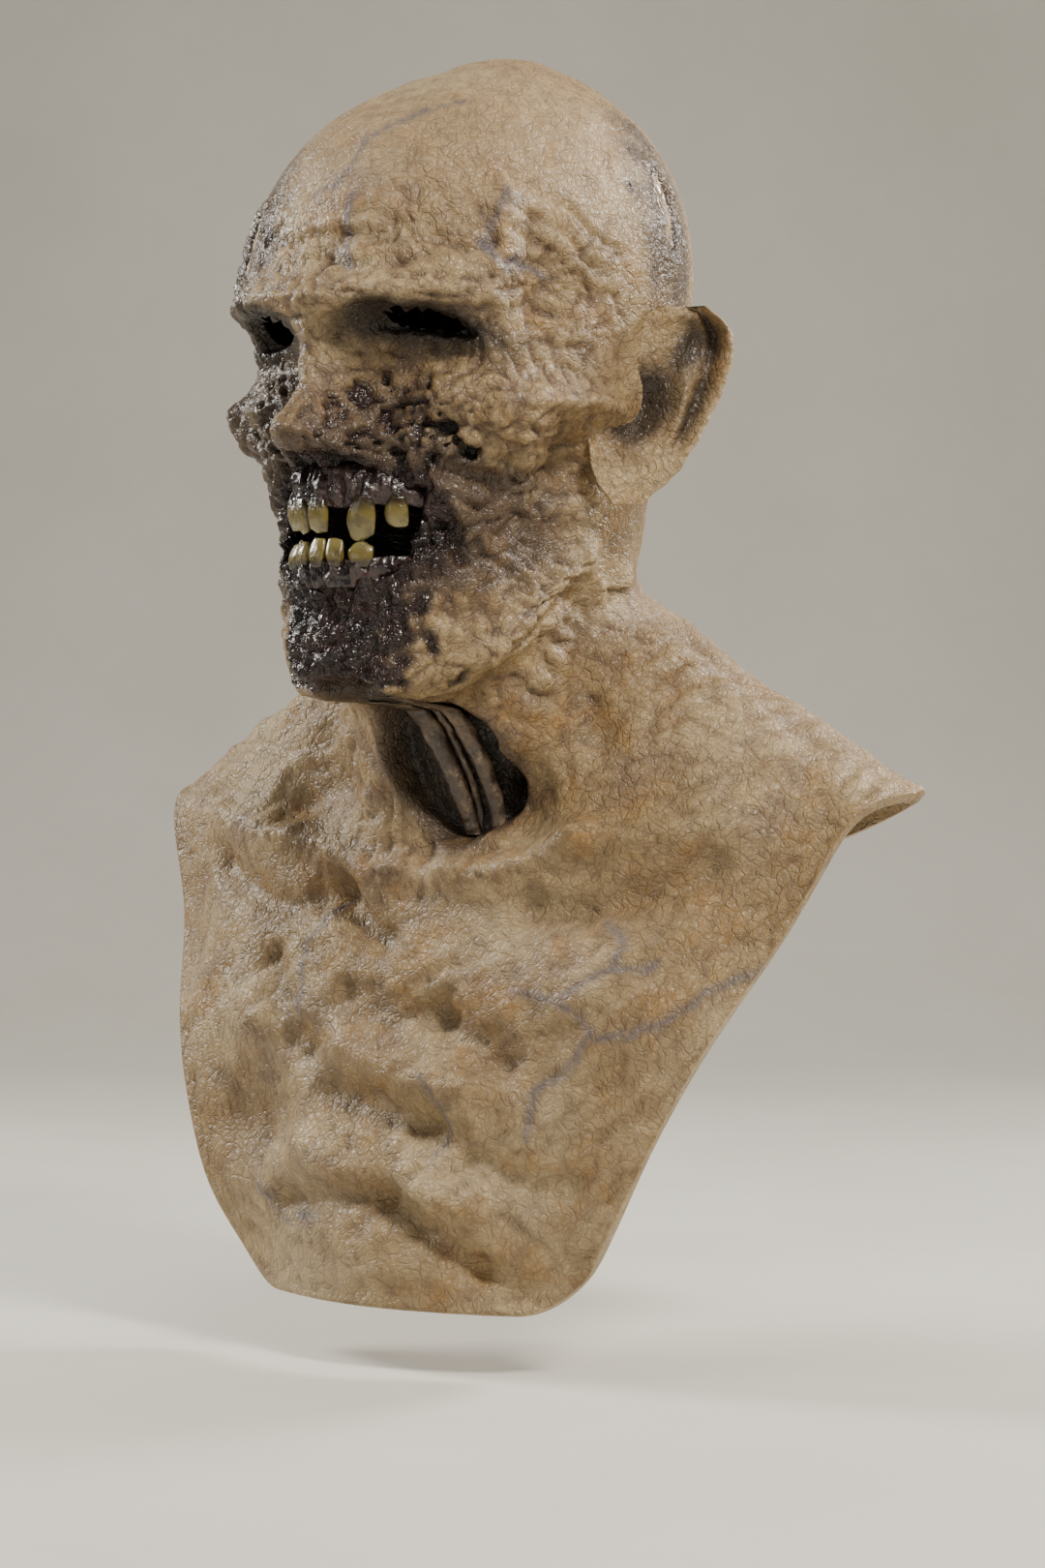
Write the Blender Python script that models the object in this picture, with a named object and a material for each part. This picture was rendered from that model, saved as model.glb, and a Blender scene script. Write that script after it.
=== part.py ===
# Zombie mask: a hollow silicone head with neck and chest bib, torn mouth with teeth, and open wounds.
# Metres, +Z up, the face looks along -Y, the wearer's left is +X. The origin is the seat on the crown.
import math

import bmesh
import bpy
import numpy as np

HEAD_HEIGHT = 0.255        # crown to chin
HEAD_WIDTH = 0.158         # over the temples
HEAD_LENGTH = 0.200        # brow to back of the skull
BIB_HEIGHT = 0.1785        # foot of the neck to the lowest point of the bib
SHOULDER_WIDTH = 0.351     # tip to tip
SHOULDER_DROP = 0.060      # foot of the neck to the shoulder tip
BACK_DROP = 0.112          # foot of the neck to the middle of the back edge
CHEST_REACH = 0.034        # how far the chest comes forward below the neck
BACK_REACH = 0.009         # how far the back goes out below the neck
WALL = 0.0045              # silicone thickness
FIT_GAP = 0.0003           # left between pieces that are seated in each other
EAR_HEIGHT = 0.075
EAR_REACH = 0.036
EAR_THICKNESS = 0.0048
EYE_OPENING_WIDTH = 0.034
EYE_OPENING_HEIGHT = 0.010
MOUTH_WIDTH = 0.070
MOUTH_HEIGHT = 0.044
GUM_THICKNESS = 0.008
TOOTH_LENGTH = 0.0105
TOOTH_THICKNESS = 0.0055
BONE_LENGTH = 0.030
BONE_WIDTH = 0.008
THROAT_WIDTH = 0.046
THROAT_HEIGHT = 0.058
THROAT_DEPTH = 0.018
CORD_THICKNESS = 0.006

COLUMNS = 48               # facets round the mask
FRONT_COLUMNS = 31         # of them on the front
ROWS = 47                  # facets from crown to edge
FRONT_ANGLE = 84.0         # degrees each side that count as the front

# One row per ring. Drops are shares of HEAD_HEIGHT, the half width is a share of half of HEAD_WIDTH,
# the three depths are shares of half of HEAD_LENGTH. Corner and sweep shape the front half of the ring.
# name, front drop, side drop, back drop, half width, side depth, front depth, back depth, corner, sweep
HEAD_RINGS = [
    ("pole", 0, 0, 0, 0, 0.27, 0.27, 0.27, 2, 2),
    ("top", 0.008, 0.008, 0.008, 0.165, 0.27, 0.11, 0.43, 2, 2),
    ("cap", 0.031, 0.031, 0.031, 0.329, 0.26, -0.07, 0.6, 2, 2),
    ("upper", 0.067, 0.067, 0.067, 0.519, 0.2, -0.32, 0.72, 2, 2),
    ("dome", 0.122, 0.118, 0.114, 0.722, 0.12, -0.59, 0.85, 2, 2),
    ("hair", 0.188, 0.18, 0.169, 0.861, 0.08, -0.77, 0.95, 2.05, 2),
    ("forehead", 0.263, 0.251, 0.227, 0.956, 0.05, -0.88, 1.01, 2.1, 2),
    ("frown", 0.337, 0.314, 0.275, 0.994, 0.04, -0.94, 1.03, 2.2, 2),
    ("brow", 0.416, 0.373, 0.322, 1, 0.04, -0.97, 1.03, 2.3, 2),
    ("eye", 0.478, 0.424, 0.369, 0.987, 0.05, -0.92, 1, 2.3, 2),
    ("lid", 0.533, 0.471, 0.412, 0.968, 0.06, -0.9, 0.96, 2.35, 2),
    ("cheek", 0.588, 0.518, 0.451, 0.949, 0.07, -0.9, 0.91, 2.3, 2.2),
    ("nostril", 0.643, 0.565, 0.49, 0.924, 0.08, -0.91, 0.86, 2.2, 2.5),
    ("lip", 0.698, 0.612, 0.529, 0.892, 0.09, -0.92, 0.81, 2.1, 2.8),
    ("bite", 0.753, 0.655, 0.565, 0.861, 0.1, -0.92, 0.77, 2.05, 3.2),
    ("underlip", 0.808, 0.694, 0.6, 0.835, 0.1, -0.92, 0.75, 2, 3.6),
    ("chin_top", 0.863, 0.729, 0.631, 0.81, 0.11, -0.89, 0.735, 2, 3.9),
    ("chin", 0.918, 0.761, 0.663, 0.791, 0.12, -0.9, 0.725, 2, 4),
    ("jaw", 0.965, 0.788, 0.69, 0.772, 0.12, -0.88, 0.72, 2, 4),
    ("jaw_edge", 0.992, 0.808, 0.714, 0.747, 0.13, -0.84, 0.72, 2, 4),
    ("under", 1.002, 0.82, 0.729, 0.728, 0.14, -0.73, 0.72, 2, 4),
    ("throat_top", 1.004, 0.829, 0.743, 0.722, 0.15, -0.64, 0.725, 2.3, 3.6),
    ("throat", 1.012, 0.839, 0.757, 0.728, 0.16, -0.52, 0.73, 2.1, 3),
    ("neck_upper", 1.039, 0.849, 0.771, 0.747, 0.17, -0.45, 0.745, 2, 2.6),
    ("neck", 1.078, 0.859, 0.786, 0.778, 0.185, -0.41, 0.77, 2, 2.3),
    ("neck_low", 1.122, 0.871, 0.804, 0.823, 0.205, -0.37, 0.8, 2, 2.1),
    ("collar", 1.161, 0.882, 0.824, 0.886, 0.225, -0.335, 0.84, 2, 2),
    ("neck_base", 1.2, 0.894, 0.843, 0.975, 0.25, -0.31, 0.88, 2, 2),
]

# One row per ring. Drops are shares of BIB_HEIGHT, SHOULDER_DROP and BACK_DROP below the neck,
# out is the share of the way to the shoulder tip, forward and back are shares of the two reaches.
# name, front drop, side drop, back drop, out, side depth, forward, back, straight cut
BIB_RINGS = [
    ("collarbone", 0.086, 0.16, 0.09, 0.13, 0.23, 0.04, 0.55, 0.12),
    ("upper_chest", 0.204, 0.36, 0.22, 0.32, 0.5, 0.27, 0.9, 0.32),
    ("chest", 0.375, 0.52, 0.38, 0.52, 0.73, 0.54, 1.1, 0.55),
    ("ribs", 0.579, 0.72, 0.57, 0.71, 0.86, 0.77, 1.2, 0.76),
    ("low_ribs", 0.79, 0.88, 0.78, 0.87, 0.95, 0.92, 1.15, 0.92),
    ("edge", 1, 1, 1, 1, 1, 1, 1, 1),
]
SHOULDER_DEPTH = 0.245     # share of HEAD_LENGTH that the shoulder tip lies behind the crown seat
CUT_START = 0.970          # share of the half width where the straight edge leaves the shoulder tip
CUT_RUN = 0.50             # share of the half width over which it falls to the bottom corner
CORNER_SOFTNESS = 0.30     # rounding of the bottom corners
TIP_SOFTNESS = 0.10        # rounding below the shoulder tips

# One row per rounded form: angle from the face's middle in degrees, ring, then half width, half height,
# forward, outward and down as shares of HEAD_HEIGHT, and the sides it is on.
# name, angle, ring, half width, half height, forward, outward, down, sides
FORMS = [
    ("nose_bridge", 0, 9.55, 0.039, 0.078, 0.055, 0, 0, "middle"),
    ("nose_tip", 0, 11.35, 0.051, 0.049, 0.098, 0, 0, "middle"),
    ("nose_wing", 11, 11.75, 0.031, 0.031, 0.031, 0, 0, "both"),
    ("nose_flank", 17.5, 10.55, 0.039, 0.059, -0.027, 0, 0, "both"),
    ("lip_hollow", 0, 12.85, 0.118, 0.035, -0.02, 0, 0, "middle"),
    ("brow", 24, 8.05, 0.11, 0.039, 0.039, 0, 0.004, "both"),
    ("frown", 0, 7.85, 0.063, 0.035, 0.02, 0, 0, "middle"),
    ("socket", 27, 9.65, 0.086, 0.063, -0.078, 0, 0, "both"),
    ("lid", 28, 10.2, 0.067, 0.039, 0.035, 0, 0, "both"),
    ("cheekbone", 55, 11.85, 0.071, 0.051, 0.031, 0.031, 0, "both"),
    ("cheek_hollow", 64, 15.15, 0.078, 0.086, 0, -0.035, 0, "both"),
    ("temple", 62, 8.3, 0.071, 0.094, 0, -0.031, 0, "both"),
    ("chin", 0, 17.65, 0.102, 0.063, 0.024, 0, 0, "middle"),
    ("under_arch", 73, 13.45, 0.051, 0.055, 0, -0.035, 0, "both"),
    ("collar_hollow", 29.5, 27.25, 0.047, 0.063, 0, -0.051, 0, "left"),
    ("far_collar_hollow", 43.5, 28.35, 0.078, 0.051, 0, -0.039, 0, "right"),
    ("notch", 2, 27.65, 0.051, 0.039, 0, -0.031, 0, "middle"),
    ("side_hollow", 27.5, 31.55, 0.086, 0.071, 0, -0.039, 0, "right"),
    ("breast_right", 29.5, 30.6, 0.094, 0.055, 0, 0.024, 0, "right"),
    ("breast_left", 34.5, 30.75, 0.133, 0.071, 0, 0.024, 0, "left"),
    ("belly", 7, 32.45, 0.157, 0.055, 0, 0.012, 0, "left"),
    ("shoulder_front", 57, 33, 0.141, 0.18, -0.047, 0, 0, "both"),
    ("rim_corner", 25.5, 33, 0.165, 0.11, -0.047, 0, 0, "both"),
]

# One row per fold, ridge or groove: it runs between two points given as angle and ring,
# with its half width and its rise as shares of HEAD_HEIGHT, and the sides it is on.
# name, angle 1, ring 1, angle 2, ring 2, half width, rise, sides
FOLDS = [
    ("cheek_arch", 50, 11, 82.5, 11.95, 0.024, 0.024, "both"),
    ("jaw_line", 51, 19, 78.5, 17.35, 0.027, 0.024, "both"),
    ("temple_line", 51, 6.05, 49, 8.3, 0.02, 0.014, "both"),
    ("brow_crease", -22, 6.85, 25.5, 6.75, 0.014, -0.006, "middle"),
    ("brow_crease_low", -19, 7.35, 22, 7.35, 0.014, -0.006, "middle"),
    ("eye_rim", 13.5, 10.55, 41.5, 10.95, 0.02, 0.012, "both"),
    ("cheek_fold", 20.5, 12.1, 44.5, 15.15, 0.024, -0.016, "both"),
    ("cheek_slit", 38.5, 12.85, 52, 13.55, 0.016, -0.02, "left"),
    ("neck_muscle", 96, 20.1, 9.5, 27.8, 0.031, 0.022, "left"),
    ("neck_muscle_far", 96, 20.1, 6.5, 27.75, 0.031, 0.016, "right"),
    ("neck_dent", 73, 21.75, 52, 27.75, 0.031, -0.02, "both"),
    ("collar_bone", 4, 27.95, 40, 29, 0.029, 0.031, "both"),
    ("collar_bone_end", 40, 29, 59, 30.9, 0.031, 0.024, "both"),
    ("below_collar", 28.5, 29.25, 53.5, 31, 0.027, -0.025, "both"),
    ("breast_line", 47, 29.05, 23, 28.75, 0.031, -0.031, "right"),
    ("breast_line_low", 23, 28.75, 7, 29.15, 0.031, -0.031, "right"),
    ("rib_groove_1a", -11.5, 29.95, 9, 30.05, 0.031, -0.02, "middle"),
    ("rib_groove_1b", 9, 30.05, 21.5, 30.65, 0.031, -0.02, "middle"),
    ("rib_groove_1c", 32, 30.25, 18.5, 30.55, 0.031, -0.024, "right"),
    ("rib_ridge_1", -8.5, 30.45, 15, 30.85, 0.031, 0.02, "middle"),
    ("rib_groove_2a", -11, 30.85, 8, 31.15, 0.029, -0.022, "middle"),
    ("rib_groove_2b", 8, 31.15, 29, 32.1, 0.029, -0.022, "middle"),
    ("rib_ridge_2", -15, 31.55, 14.5, 31.95, 0.031, 0.024, "middle"),
    ("rib_groove_3a", -18, 32.05, 1.5, 31.85, 0.027, -0.024, "middle"),
    ("rib_groove_3b", 1.5, 31.85, 14.5, 32.5, 0.027, -0.027, "middle"),
    ("rib_groove_3c", 14.5, 32.5, 28, 33, 0.027, -0.02, "middle"),
    ("nape_fold", 103, 27.2, 81.5, 30.45, 0.027, -0.012, "both"),
]

# Ear outline, one row per height: share of EAR_HEIGHT from the lobe up, root and rim as shares of
# EAR_REACH, the hollow of the shell and the roll of the rim as shares of EAR_THICKNESS.
# height, root, rim, hollow, roll
EAR_ROWS = [
    (0.00, 0.02, 0.18, 0.0, 0.0),
    (0.08, -0.10, 0.42, 0.1, 0.1),
    (0.20, -0.15, 0.62, 0.3, 0.2),
    (0.35, -0.18, 0.74, 1.0, 0.5),
    (0.50, -0.18, 0.88, 1.5, 0.8),
    (0.65, -0.18, 0.98, 1.6, 1.0),
    (0.80, -0.14, 1.00, 1.3, 1.0),
    (0.92, -0.05, 0.90, 0.6, 0.8),
    (1.00, 0.20, 0.62, 0.0, 0.3),
]

# Teeth: place across the mouth from -1 to 1, width as a share of MOUTH_WIDTH, length share, set back share
# name, place, width, length, set back
UPPER_TEETH = [
    ("upper_tooth_1", -0.62, 0.115, 0.95, 0.0),
    ("upper_tooth_2", -0.36, 0.125, 1.05, 0.0),
    ("upper_tooth_3", -0.09, 0.130, 1.10, 0.0),
    ("upper_tooth_4", 0.42, 0.140, 1.30, 0.1),
    ("upper_tooth_5", 0.70, 0.105, 0.90, 0.0),
]
LOWER_TEETH = [
    ("lower_tooth_1", -0.58, 0.095, 0.72, 0.0),
    ("lower_tooth_2", -0.34, 0.100, 0.85, 0.0),
    ("lower_tooth_3", -0.10, 0.105, 0.88, 0.0),
    ("lower_tooth_4", 0.14, 0.100, 0.78, 0.0),
    ("lower_tooth_5", 0.40, 0.125, 0.68, 0.0),
]

# Cords in the throat wound: place across at the top and at the foot, shares of THROAT_WIDTH, thickness share
# name, top, foot, thickness
THROAT_CORDS = [
    ("throat_cord_left", 0.06, 0.20, 0.9),
    ("throat_cord_right", -0.22, -0.02, 1.1),
]

# name, base colour, roughness
MATERIALS = {
    "silicone_skin": ((0.42, 0.31, 0.17, 1.0), 0.5),
    "wet_gum": ((0.05, 0.02, 0.02, 1.0), 0.18),
    "old_tooth": ((0.30, 0.25, 0.07, 1.0), 0.2),
    "bare_bone": ((0.50, 0.36, 0.14, 1.0), 0.25),
    "dry_cord": ((0.20, 0.14, 0.09, 1.0), 0.4),
}

EYE_PLACE = 0.44           # middle of the eye opening, as a share of half of HEAD_WIDTH
EYE_DROP = 0.452           # crown to the eye opening, as a share of HEAD_HEIGHT
EYE_SLOPE = 0.10           # fall of the slit towards the temple, as a share of its length
EYE_SAG = 0.14             # bend of the slit, as a share of half its width
MOUTH_PLACE = 0.745        # crown to the bite, as a share of HEAD_HEIGHT
MOUTH_BOW = 0.34           # how far the corners of the mouth lie back, as a share of MOUTH_WIDTH
MOUTH_SQUARE = 2.6         # 2 gives an oval mouth, more a squarer one
RAG_DEPTH = 0.05           # depth of the torn waves in its edge, as a share of half its height
RAG_COUNT = 19.0           # radians of waves from its middle to a corner
MOUTH_SPAN = 0.985         # share of MOUTH_WIDTH that the gums and the opening reach
GUM_LINE_UP = 0.20         # foot of the upper gum above the bite, as a share of MOUTH_HEIGHT
GUM_LINE_DOWN = -0.30      # top of the lower gum below the bite, as a share of MOUTH_HEIGHT
GUM_PUFF = 0.15            # swell of the gum's face, as a share of GUM_THICKNESS
GUM_SEAT = FIT_GAP * 1.6   # room between a gum and the torn edge
GUM_TAPER = 0.96           # width of a gum's rear for a width of 1 at its face
TOOTH_SEAT = 0.42          # share of GUM_THICKNESS that a tooth's middle lies behind the gum's face
EAR_ROOT_ANGLE = 86.0      # degrees round the head where the ear grows
EAR_ROOT_RING = 10.6       # ring of the skin at its root
EAR_TOP_DROP = 0.41        # crown to the top of the ear, as a share of HEAD_HEIGHT
EAR_FLARE = 52.0           # degrees that the ear stands out from the side of the head
EAR_LEAN = 0.22            # how far the top leans back for each unit of height
THROAT_RING = 24.4         # ring at the middle of the throat wound
THROAT_SHIFT = 0.30        # how far to the left it lies, as a share of THROAT_WIDTH
THROAT_SLANT = 0.20        # how far the wound leans, as a share of its half width
THROAT_REACH = 0.62        # reach of the pocket round the wound's middle, as a share of its size
CORD_RUN = 0.60            # length of a cord, as a share of THROAT_HEIGHT
BONE_LEFT = (106.0, 6.0)   # angle and ring of the bare bone behind the left temple
BONE_RIGHT = (-36.0, 6.9)  # angle and ring of the bare bone on the right of the forehead
RINGS_PER_HEIGHT = 8.5     # rings that half of a piece takes for a length of HEAD_HEIGHT
BONE_TOP = 0.18            # depth of the bone's face and of its rear, as shares of WALL
BONE_REAR = 0.52
WINDOW_WIDE = 1.35         # the window in the skin over the bone, as shares of the bone's size
WINDOW_TALL = 1.12
CUTTER_REACH = 0.25        # how far a cutter reaches in front of the face, as a share of HEAD_LENGTH

HOLLOW_SPREAD = 1.15       # how much wider the inner face takes a hollow
MOUND_SHARE = 0.8          # how much of a mound it follows
GROOVE_SPREAD = 2.2        # how much wider it takes a groove
RIDGE_SHARE = 0.3          # how much of a ridge it follows
CROWN_HEIGHT = WALL
HALF_WIDTH = HEAD_WIDTH / 2
HALF_LENGTH = HEAD_LENGTH / 2


def ring_table():
    rows = []
    for _, front, side, back, width, mid, near, far, corner, sweep in HEAD_RINGS:
        rows.append([CROWN_HEIGHT - front * HEAD_HEIGHT, CROWN_HEIGHT - side * HEAD_HEIGHT,
                     CROWN_HEIGHT - back * HEAD_HEIGHT, width * HALF_WIDTH, mid * HALF_LENGTH,
                     near * HALF_LENGTH, far * HALF_LENGTH, corner, sweep, 0.0])
    neck = list(rows[-1])
    for _, front, side, back, out, mid, near, far, cut in BIB_RINGS:
        rows.append([neck[0] - front * BIB_HEIGHT, neck[1] - side * SHOULDER_DROP,
                     neck[2] - back * BACK_DROP, neck[3] + out * (SHOULDER_WIDTH / 2 - neck[3]),
                     neck[4] + mid * (SHOULDER_DEPTH * HEAD_LENGTH - neck[4]), neck[5] - near * CHEST_REACH,
                     neck[6] + far * BACK_REACH, 2.0, 2.0, cut])
    return np.array(rows)


RINGS = ring_table()
LAST_RING = len(RINGS) - 1
NECK_RING = len(HEAD_RINGS) - 1


def soft_min(a, b, width):
    h = np.clip(0.5 + 0.5 * (b - a) / width, 0, 1)
    return b + (a - b) * h - width * h * (1 - h)


# A ring between two rows of the table is their smooth blend; each ring is a rounded rectangle in plan
# whose height runs from the side height to the front or back height.
def base_surface(angle, ring):
    angle, ring = np.broadcast_arrays(np.asarray(angle, float), np.asarray(ring, float))
    ring = np.clip(ring, 0, LAST_RING)
    low = np.minimum(ring.astype(int), LAST_RING - 1)
    t = (ring - low)[..., None]
    p0, p1, p2, p3 = (RINGS[np.clip(low + k, 0, LAST_RING)] for k in (-1, 0, 1, 2))
    row = 0.5 * (2 * p1 + (p2 - p0) * t + (2 * p0 - 5 * p1 + 4 * p2 - p3) * t ** 2
                 + (3 * p1 - p0 - 3 * p2 + p3) * t ** 3)
    front_z, side_z, back_z, width, mid, near, far, corner, sweep, straight = np.moveaxis(row, -1, 0)
    across, along = np.sin(angle), np.cos(angle)
    front = along > 0
    corner = np.where(front, corner, 2.0)
    sweep = np.where(front, sweep, 2.0)
    reach = (np.abs(across) ** corner + np.abs(along) ** corner) ** (1 / corner)
    x = width * across / reach
    y = mid - np.where(front, mid - near, far - mid) * along / reach
    share = 1 - np.abs(across) ** sweep
    line = soft_min((CUT_START - np.abs(across)) / CUT_RUN, np.ones_like(share), CORNER_SOFTNESS)
    line = -soft_min(-line, np.zeros_like(share), TIP_SOFTNESS)
    share = share + (np.where(front, line, share) - share) * straight
    z = side_z + np.where(front, front_z - side_z, back_z - side_z) * share
    return np.stack([x, y, z], -1)


# Outward direction of the base surface, from two short steps along it.
def outward(angle, ring):
    step = 0.02
    ring = np.clip(ring, 0.05, LAST_RING - 0.05)
    du = base_surface(angle + step, ring) - base_surface(angle - step, ring)
    dv = base_surface(angle, ring + step) - base_surface(angle, ring - step)
    n = np.cross(dv, du)
    return n / np.maximum(np.linalg.norm(n, axis=-1, keepdims=True), 1e-12)


def sides_of(word):
    return {"both": (1, -1), "left": (1,), "right": (-1,), "middle": (1,)}[word]


# Each form adds a soft mound or hollow that fades with the square of the distance from its middle.
# The inner face takes the hollows wider and the ridges lower, so that its larger facets stay inside the wall.
def shaped(angle, ring, inner=False):
    p = base_surface(angle, ring)
    n = outward(angle, ring)
    move = np.zeros_like(p)
    for _, deg, row, half_w, half_h, forward, out, down, word in FORMS:
        if inner and forward + out < 0:
            half_w, half_h = half_w * HOLLOW_SPREAD, half_h * HOLLOW_SPREAD
        elif inner:
            forward, out = forward * MOUND_SHARE, out * MOUND_SHARE
        for side in sides_of(word):
            q = base_surface(math.radians(side * deg), row)
            flat = ((p[..., 0] - q[0]) ** 2 + (p[..., 1] - q[1]) ** 2) / (half_w * HEAD_HEIGHT) ** 2
            w = np.exp(-flat - ((p[..., 2] - q[2]) / (half_h * HEAD_HEIGHT)) ** 2)[..., None]
            push = n * out + np.array([0.0, -forward, -down])
            move += w * push * HEAD_HEIGHT
    for _, deg1, row1, deg2, row2, half_w, rise, word in FOLDS:
        if inner:
            half_w, rise = (half_w * GROOVE_SPREAD, rise) if rise < 0 else (half_w, rise * RIDGE_SHARE)
        for side in sides_of(word):
            s = np.linspace(0, 1, 12)
            line = base_surface(np.radians(side * (deg1 + (deg2 - deg1) * s)), row1 + (row2 - row1) * s)
            near = np.full(p.shape[:-1], 1e9)
            for q in line:
                near = np.minimum(near, ((p - q) ** 2).sum(-1))
            w = np.exp(-near / (half_w * HEAD_HEIGHT) ** 2)[..., None]
            move += w * n * rise * HEAD_HEIGHT
    return p + move


# The inner face lies one wall inside, along the mean of the plain form's and the finished form's direction.
def inner_face(angle, ring):
    step = 0.03
    p = shaped(angle, ring, True)
    ring = np.clip(ring, 0.05, LAST_RING - 0.05)
    du = shaped(angle + step, ring, True) - shaped(angle - step, ring, True)
    dv = shaped(angle, ring + step, True) - shaped(angle, ring - step, True)
    n = np.cross(dv, du)
    n = n / np.maximum(np.linalg.norm(n, axis=-1, keepdims=True), 1e-12) + outward(angle, ring)
    return p - WALL * n / np.linalg.norm(n, axis=-1, keepdims=True)


def front_angles():
    fine = np.linspace(-FRONT_ANGLE, FRONT_ANGLE, FRONT_COLUMNS + 1)
    rest = np.linspace(FRONT_ANGLE, 360 - FRONT_ANGLE, COLUMNS - FRONT_COLUMNS + 1)[1:-1]
    return np.radians(np.concatenate([fine, rest]))


def make_mesh(name, points, faces, material, smooth=True):
    mesh = bpy.data.meshes.new(name)
    mesh.from_pydata([tuple(map(float, q)) for q in points], [], faces)
    mesh.validate()
    work = bmesh.new()
    work.from_mesh(mesh)
    bmesh.ops.recalc_face_normals(work, faces=work.faces)
    work.to_mesh(mesh)
    work.free()
    for poly in mesh.polygons:
        poly.use_smooth = smooth
    thing = bpy.data.objects.new(name, mesh)
    bpy.context.scene.collection.objects.link(thing)
    mesh.materials.append(material)
    return thing


# Faces that join the points of a closed ring grid, with a single point on the first ring.
def ring_faces(start, rows, columns, flip):
    faces = []
    for c in range(columns):
        d = (c + 1) % columns
        faces.append((start, start + 1 + c, start + 1 + d))
    for r in range(rows - 1):
        a = start + 1 + r * columns
        for c in range(columns):
            d = (c + 1) % columns
            faces.append((a + c, a + columns + c, a + columns + d, a + d))
    return [f[::-1] for f in faces] if flip else faces


# The pocket behind the throat wound: the inner face steps back so that the wound has a wall behind it.
def throat_share(p):
    x, z = throat_middle()
    across = (p[..., 0] - x) / (THROAT_WIDTH * THROAT_REACH)
    flat = across ** 2 + ((p[..., 2] - z) / (THROAT_HEIGHT * THROAT_REACH)) ** 2
    w = np.clip(1.6 - flat, 0, 1) * (p[..., 1] < 0.2 * HALF_LENGTH)
    return w * w * (3 - 2 * w)


def throat_middle():
    q = base_surface(0.0, THROAT_RING)
    return THROAT_SHIFT * THROAT_WIDTH, q[2]


def skin_shell(material):
    angles = front_angles()
    outer_rings = np.array(ring_steps(ROWS))
    inner_rings = outer_rings[::2] if (len(outer_rings) % 2) else np.append(outer_rings[::2], outer_rings[-1])
    outer = shaped(angles[None, :], outer_rings[:, None])
    inner = inner_face(angles[None, :], inner_rings[:, None])
    back = throat_share(inner)[..., None] * THROAT_DEPTH
    inner = inner + back * np.array([0.0, 1.0, 0.0])
    top = shaped(0.0, 0.0)
    low = top - np.array([0.0, 0.0, WALL])
    points = [top] + list(outer.reshape(-1, 3)) + [low] + list(inner.reshape(-1, 3))
    columns = len(angles)
    first_inner = 1 + outer.shape[0] * columns
    faces = ring_faces(0, outer.shape[0], columns, False)
    faces += ring_faces(first_inner, inner.shape[0], columns, True)
    a = 1 + (outer.shape[0] - 1) * columns
    b = first_inner + 1 + (inner.shape[0] - 1) * columns
    for c in range(columns):
        d = (c + 1) % columns
        faces.append((a + c, b + c, b + d, a + d))
    return make_mesh("mask_skin", points, faces, material)


# Rings are closer together over the face than on the crown and the bib.
def ring_steps(count):
    marks = [(0.35, 0.0), (3.0, 0.07), (6.5, 0.12), (19.0, 0.55), (27.0, 0.71), (LAST_RING, 1.0)]
    return np.interp(np.linspace(0, 1, count), [m[1] for m in marks], [m[0] for m in marks])


# A closed patch that follows the skin between two offsets, with an oval outline.
def skin_patch(name, deg, row, half_deg, half_row, top, bottom, material, steps=10):
    a = np.linspace(-1, 1, steps + 1)
    across, down = np.meshgrid(a, a)
    disc_x = across * np.sqrt(1 - down ** 2 / 2)
    disc_y = down * np.sqrt(1 - across ** 2 / 2)
    angle = np.radians(deg + disc_x * half_deg)
    ring = row + disc_y * half_row
    p = shaped(angle, ring)
    n = outward(angle, ring)
    return closed_sheet(name, p + n * top, p + n * bottom, material)


# Two matching sheets of points joined round their border.
def closed_sheet(name, front, back, material):
    rows, columns = front.shape[:2]
    points = list(front.reshape(-1, 3)) + list(back.reshape(-1, 3))
    count = rows * columns
    faces = []
    for r in range(rows - 1):
        for c in range(columns - 1):
            i = r * columns + c
            faces.append((i, i + 1, i + columns + 1, i + columns))
            faces.append((count + i, count + i + columns, count + i + columns + 1, count + i + 1))
    border = [c for c in range(columns)]
    border += [r * columns + columns - 1 for r in range(1, rows)]
    border += [(rows - 1) * columns + c for c in range(columns - 2, -1, -1)]
    border += [r * columns for r in range(rows - 2, 0, -1)]
    for i, j in zip(border, border[1:] + border[:1]):
        faces.append((i, count + i, count + j, j))
    return make_mesh(name, points, faces, material)


def ear(name, side, material):
    heights, roots, rims, hollows, rolls = np.array(EAR_ROWS).T
    h = np.linspace(0, 1, 13)
    h = (1 - np.cos(math.pi * h)) / 2
    b = np.linspace(0, 1, 7)
    root, rim = np.interp(h, heights, roots), np.interp(h, heights, rims)
    hollow, roll = np.interp(h, heights, hollows), np.interp(h, heights, rolls)
    out = (root[:, None] + (rim - root)[:, None] * b) * EAR_REACH
    shell = hollow[:, None] * np.sin(math.pi * np.clip(b * 1.15, 0, 1)) ** 2 - roll[:, None] * b ** 6
    up = h[:, None] * EAR_HEIGHT + 0 * out
    tip = CROWN_HEIGHT - EAR_TOP_DROP * HEAD_HEIGHT - EAR_HEIGHT
    q = base_surface(math.radians(EAR_ROOT_ANGLE), EAR_ROOT_RING)
    flare = math.radians(EAR_FLARE)
    dx, dy = math.sin(flare), math.cos(flare)
    lean = EAR_LEAN * (h - 0.5)[:, None] * EAR_HEIGHT

    def sheet(depth):
        x = q[0] + out * dx + depth * dy
        y = q[1] + out * dy - depth * dx + lean
        return np.stack([side * x, y, tip + up], -1)

    face = sheet(-shell * EAR_THICKNESS * 0.8)
    rear = sheet(-shell * EAR_THICKNESS * 0.8 - EAR_THICKNESS * (1 - 0.35 * b[None, :]))
    return closed_sheet(name, face, rear, material)


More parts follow.
